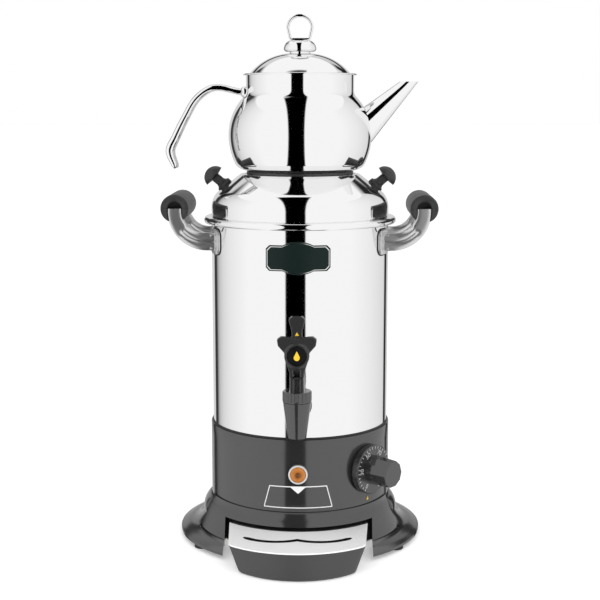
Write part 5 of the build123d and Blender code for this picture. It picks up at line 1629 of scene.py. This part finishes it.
@dataclass
class TapLever(Assembly):
    """Lever with its marks."""

    body: str = "tap_lever"
    voxel: float = 0.0004
    relax: int = 24
    neck_y: float = -0.152
    drop_z: float = 0.237
    drop_tip: float = 0.00551
    drop_belly: float = -0.00152
    drop_half: float = 0.0031
    drop_turn: Pair = (30.0, -210.0)
    drop_steps: int = 24
    arrow_z: float = 0.2585
    arrow: Profile = ((-0.0022, -0.0014), (0.0022, -0.0014), (0.0, 0.0024))
    mark_proud: float = 0.0002

    def build(self) -> None:
        """Copies the lever with rounded edges and adds its yellow marks."""
        lever = self.copy("tap_lever", voxel=self.voxel, relax=self.relax)
        inlay = self.copy("tap_medallion", finish=INLAY_BLACK)
        for piece in (lever, inlay):
            piece.visible_glossy = False
        drop = [
            (0.0, self.drop_tip),
            *bend((0.0, self.drop_belly), self.drop_half, *self.drop_turn, self.drop_steps),
        ]
        self.mark("lever_drop", drop, self.drop_z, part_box("tap_medallion")[0].y)
        self.mark("neck_arrow", self.arrow, self.arrow_z, AXIS_Y + self.neck_y)

    def mark(self, name: str, outline: Sequence[Pair], z: float, y: float) -> None:
        """Adds a flat mark that stands out slightly to the front.

        Args:
            name: Name of the new piece.
            outline: Closed outline about the mark's middle.
            z: Height of its middle.
            y: Place of the face that it lies on.
        """
        sections = [
            [(x, y + depth, z + up) for x, up in outline]
            for depth in (self.mark_proud, -self.mark_proud)
        ]
        flat = loft(name, sections, ends=Ends.CAPPED)
        self.add(flat, finish=PRINT_YELLOW, slot="medallion")


@dataclass
class DripTray(Assembly):
    """Black drip drawer."""

    body: str = "drip_tray"
    voxel: float = 0.0009
    relax: int = 4

    def build(self) -> None:
        """Copies the tray with rounded edges."""
        self.copy("drip_tray", voxel=self.voxel, relax=self.relax, finish=TRAY_BLACK)


@dataclass
class DripGrate(Assembly):
    """Steel cover of the drip drawer with its drain slot."""

    body: str = "drip_grate"
    face_weight: int = 100
    slot_end: Pair = (0.058, -0.129)
    slot_low: Pair = (0.028, -0.143)
    slot_cusp: Pair = (0.0, -0.1375)
    slot_half: float = 0.0034
    slot_spans: int = 48
    slot_overrun: float = 1.03
    slot_blunt: float = 0.35
    slot_taper: int = 6
    # Height of the painted shade band above the sheet
    shade_band: float = 0.00008

    def build(self) -> None:
        """Copies the sheet and lays a near-black band of painted shade along the slot's two bows.
        """
        sheet = self.copy("drip_grate", finish=GRATE_STEEL)
        even = sheet.modifiers.new("even", "WEIGHTED_NORMAL")
        even.keep_sharp, even.weight = True, self.face_weight
        settle(sheet)
        bm = bmesh.new()
        for side in (-1.0, 1.0):
            self.bow(bm, side)
        shade_band = finished("slot_shade_band", bm, outward=False)
        self.add(shade_band, finish=SLOT_SHADE, slot=NODE_SLOT["drip_grate"])

    def bow(self, bm: bmesh.types.BMesh, side: float) -> None:
        """Adds one bow of the painted shade band, round the circle through its end, low point and
        cusp.

        Args:
            bm: Mesh of the lining.
            side: Sign of the bow's place along X.
        """
        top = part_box("drip_grate")[1].z + self.shade_band
        (x, y), radius = circle_through(self.slot_end, self.slot_low, self.slot_cusp)
        first, last = (math.atan2(v - y, u - x) for u, v in (self.slot_end, self.slot_cusp))
        rows = []
        for i in range(self.slot_spans + 1):
            a = first + self.slot_overrun * (last - first) * i / self.slot_spans
            half = self.slot_half * min(1.0, self.slot_blunt + i / self.slot_taper)
            rows.append([
                bm.verts.new((side * (x + r * math.cos(a)), AXIS_Y + y + r * math.sin(a), top))
                for r in (radius - half, radius + half)
            ])
        for (p, q), (t, u) in zip(rows, rows[1:]):
            bm.faces.new((p, q, u, t) if side < 0 else (p, t, u, q))


def dress_inner_parts() -> None:
    """Gives every CAD node that still shows the finish of its slot."""
    for node, obj in frame["nodes"].items():
        if obj.hide_render:
            continue
        obj.data.materials.clear()
        obj.data.materials.append(SLOT_FINISH[NODE_SLOT[node]].material())


# Camera and room


@dataclass(frozen=True)
class Viewpoint:
    """Place and lens of the camera."""

    distance: float = 1.438
    swing: float = math.radians(1.2)
    height: float = 0.492
    pitch: float = math.radians(8.73)
    focal_px: float = 1270.0
    image_px: float = 600.0
    sensor: float = 36.0

    def build(self) -> None:
        """Makes the camera in front of the tap."""
        data = bpy.data.cameras.new("camera")
        data.sensor_width = self.sensor
        data.lens = self.focal_px / self.image_px * self.sensor
        camera = bpy.data.objects.new("camera", data)
        camera.location = on_drum(0.0, self.height, self.distance, self.swing)
        camera.rotation_euler = (math.pi / 2 - self.pitch, 0.0, self.swing)
        bpy.context.scene.collection.objects.link(camera)
        bpy.context.scene.camera = camera


@dataclass(frozen=True)
class RoomNodes:
    """Adds the nodes of the room's light to its tree."""

    tree: bpy.types.NodeTree

    def sums(
        self, operation: str, *values: Union[float, bpy.types.NodeSocket]
    ) -> bpy.types.NodeSocket:
        """Adds a sum.

        Args:
            operation: Operation of the Math node.
            values: Numbers or sockets that it works on.

        Returns:
            The socket of its result.
        """
        node = self.tree.nodes.new("ShaderNodeMath")
        node.operation = operation
        for socket, value in zip(node.inputs, values):
            if isinstance(value, float):
                socket.default_value = value
            else:
                self.tree.links.new(value, socket)
        return node.outputs[0]

    def tone(
        self, angle: bpy.types.NodeSocket, reach: float, stops: Profile
    ) -> bpy.types.NodeSocket:
        """Adds a grey tone that follows an angle.

        Args:
            angle: Socket of the angle, in radians.
            reach: Largest angle to either side, in degrees.
            stops: Angles in degrees with the tones there.

        Returns:
            The socket of the tone.
        """
        ramp = self.tree.nodes.new("ShaderNodeValToRGB")
        share = self.sums("ADD", self.sums("DIVIDE", angle, math.radians(2 * reach)), 0.5)
        self.tree.links.new(share, ramp.inputs["Fac"])
        elements = ramp.color_ramp.elements
        while len(elements) < len(stops):
            elements.new(1.0)
        for element, (degrees, value) in zip(elements, stops):
            element.position = degrees / (2 * reach) + 0.5
            element.color = (*grey(value), 1.0)
        return ramp.outputs["Color"]


@dataclass(frozen=True)
class Studio:
    """White room with dark gaps that polished pieces mirror, and a pale floor."""

    # Tones round the room by degrees from its front; the mask is 1 at heights that stay white
    round_tones: Profile = (
        (-180.0, 0.69), (-149.5, 0.69), (-147.0, 0.04), (-138.0, 0.04), (-135.5, 0.25),
        (-132.0, 0.45), (-127.0, 0.6), (-117.0, 0.75), (-101.0, 0.87), (-70.0, 1.0),
        (70.0, 1.0), (104.0, 0.9), (129.0, 0.8), (140.0, 0.75), (144.0, 0.7),
        (145.5, 0.02), (154.5, 0.02), (157.0, 0.6), (180.0, 0.69),
    )
    height_mask: Profile = ((-90.0, 1.0), (-66.0, 1.0), (-60.0, 0.0), (35.0, 0.0), (42.0, 1.0))
    # Dark gap in front by degrees to the side; the mask is 1 where its run stays white
    gap_tones: Profile = ((-90.0, 1.0), (-17.8, 1.0), (-16.6, 0.0), (7.6, 0.0), (8.6, 1.0))
    gap_mask: Profile = ((-180.0, 1.0), (-95.0, 1.0), (-88.0, 0.0), (86.0, 0.0), (90.0, 1.0))
    # Dark arch behind by degrees of height; the mask is 1 at turns that stay white
    arch_tones: Profile = ((-90.0, 1.0), (17.5, 1.0), (19.0, 0.06), (25.0, 0.06), (27.0, 1.0))
    arch_mask: Profile = (
        (-180.0, 0.0), (-143.0, 0.0), (-140.0, 1.0), (143.0, 1.0), (146.0, 0.0),
    )
    white: float = 1.0
    key_power: float = 13.0
    key_place: Triple = (0.0, -1.3, 1.25)
    key_size: float = 1.2
    floor_half: float = 30.0

    def build(self) -> None:
        """Makes the room's light, a soft light from the front and the floor."""
        bpy.context.scene.view_settings.view_transform = "Standard"
        self.room()
        self.key()
        self.floor()

    def room(self) -> None:
        """Light from all round, with a dark gap in front and a dark arch behind."""
        world = bpy.data.worlds.new("white room")
        bpy.context.scene.world = world
        world.use_nodes = True
        nodes, links = world.node_tree.nodes, world.node_tree.links
        kit = RoomNodes(world.node_tree)
        place = nodes.new("ShaderNodeTexCoord")
        split = nodes.new("ShaderNodeSeparateXYZ")
        links.new(place.outputs["Generated"], split.inputs[0])
        x, y, z = (split.outputs[axis] for axis in "XYZ")
        front = kit.sums("MULTIPLY", y, -1.0)
        squares = kit.sums("ADD", kit.sums("MULTIPLY", y, y), kit.sums("MULTIPLY", z, z))
        turn, rise = kit.sums("ARCTAN2", x, front), kit.sums("ARCSINE", z)
        sideways = kit.sums("ARCTAN2", x, kit.sums("SQRT", squares))
        overhead = kit.sums("ARCTAN2", z, front)
        layers = []
        for angle, reach, tones, other, other_reach, mask in (
            (turn, 180.0, self.round_tones, rise, 90.0, self.height_mask),
            (sideways, 90.0, self.gap_tones, overhead, 180.0, self.gap_mask),
            (rise, 90.0, self.arch_tones, turn, 180.0, self.arch_mask),
        ):
            tone, clear = kit.tone(angle, reach, tones), kit.tone(other, other_reach, mask)
            layers.append(kit.sums("MAXIMUM", tone, clear))
        light = kit.sums("MULTIPLY", kit.sums("MULTIPLY", layers[0], layers[1]), layers[2])
        ray = nodes.new("ShaderNodeLightPath").outputs["Is Camera Ray"]
        background = nodes["Background"]
        links.new(kit.sums("MAXIMUM", light, ray), background.inputs["Color"])
        background.inputs["Strength"].default_value = self.white

    def key(self) -> None:
        """Soft light from the front that polished pieces don't mirror."""
        data = bpy.data.lights.new("soft front light", "AREA")
        data.energy, data.size = self.key_power, self.key_size
        lamp = bpy.data.objects.new("soft front light", data)
        lamp.location = self.key_place
        lamp.rotation_euler = (math.atan2(-self.key_place[1], self.key_place[2]), 0.0, 0.0)
        lamp.visible_glossy = False
        bpy.context.scene.collection.objects.link(lamp)

    def floor(self) -> None:
        """Pale floor that polished pieces look past."""
        bm = bmesh.new()
        half = self.floor_half
        corners = ((-half, -half, 0), (half, -half, 0), (half, half, 0), (-half, half, 0))
        bm.faces.new([bm.verts.new(corner) for corner in corners])
        floor = finished("floor", bm)
        floor.data.materials.append(PALE_FLOOR.material())
        floor.visible_glossy = False


def main() -> None:
    """Builds the camera, the room and every assembly."""
    Viewpoint().build()
    Studio().build()
    for assembly in (
        Tank(), TankLid(), Teapot(), TeapotLid(), SideHandles(), HeaterBase(), Dial(), Tap(),
        TapStem(), TapLever(), DripTray(), DripGrate(),
    ):
        assembly.build()
    dress_inner_parts()


if __name__ == "__main__":
    main()
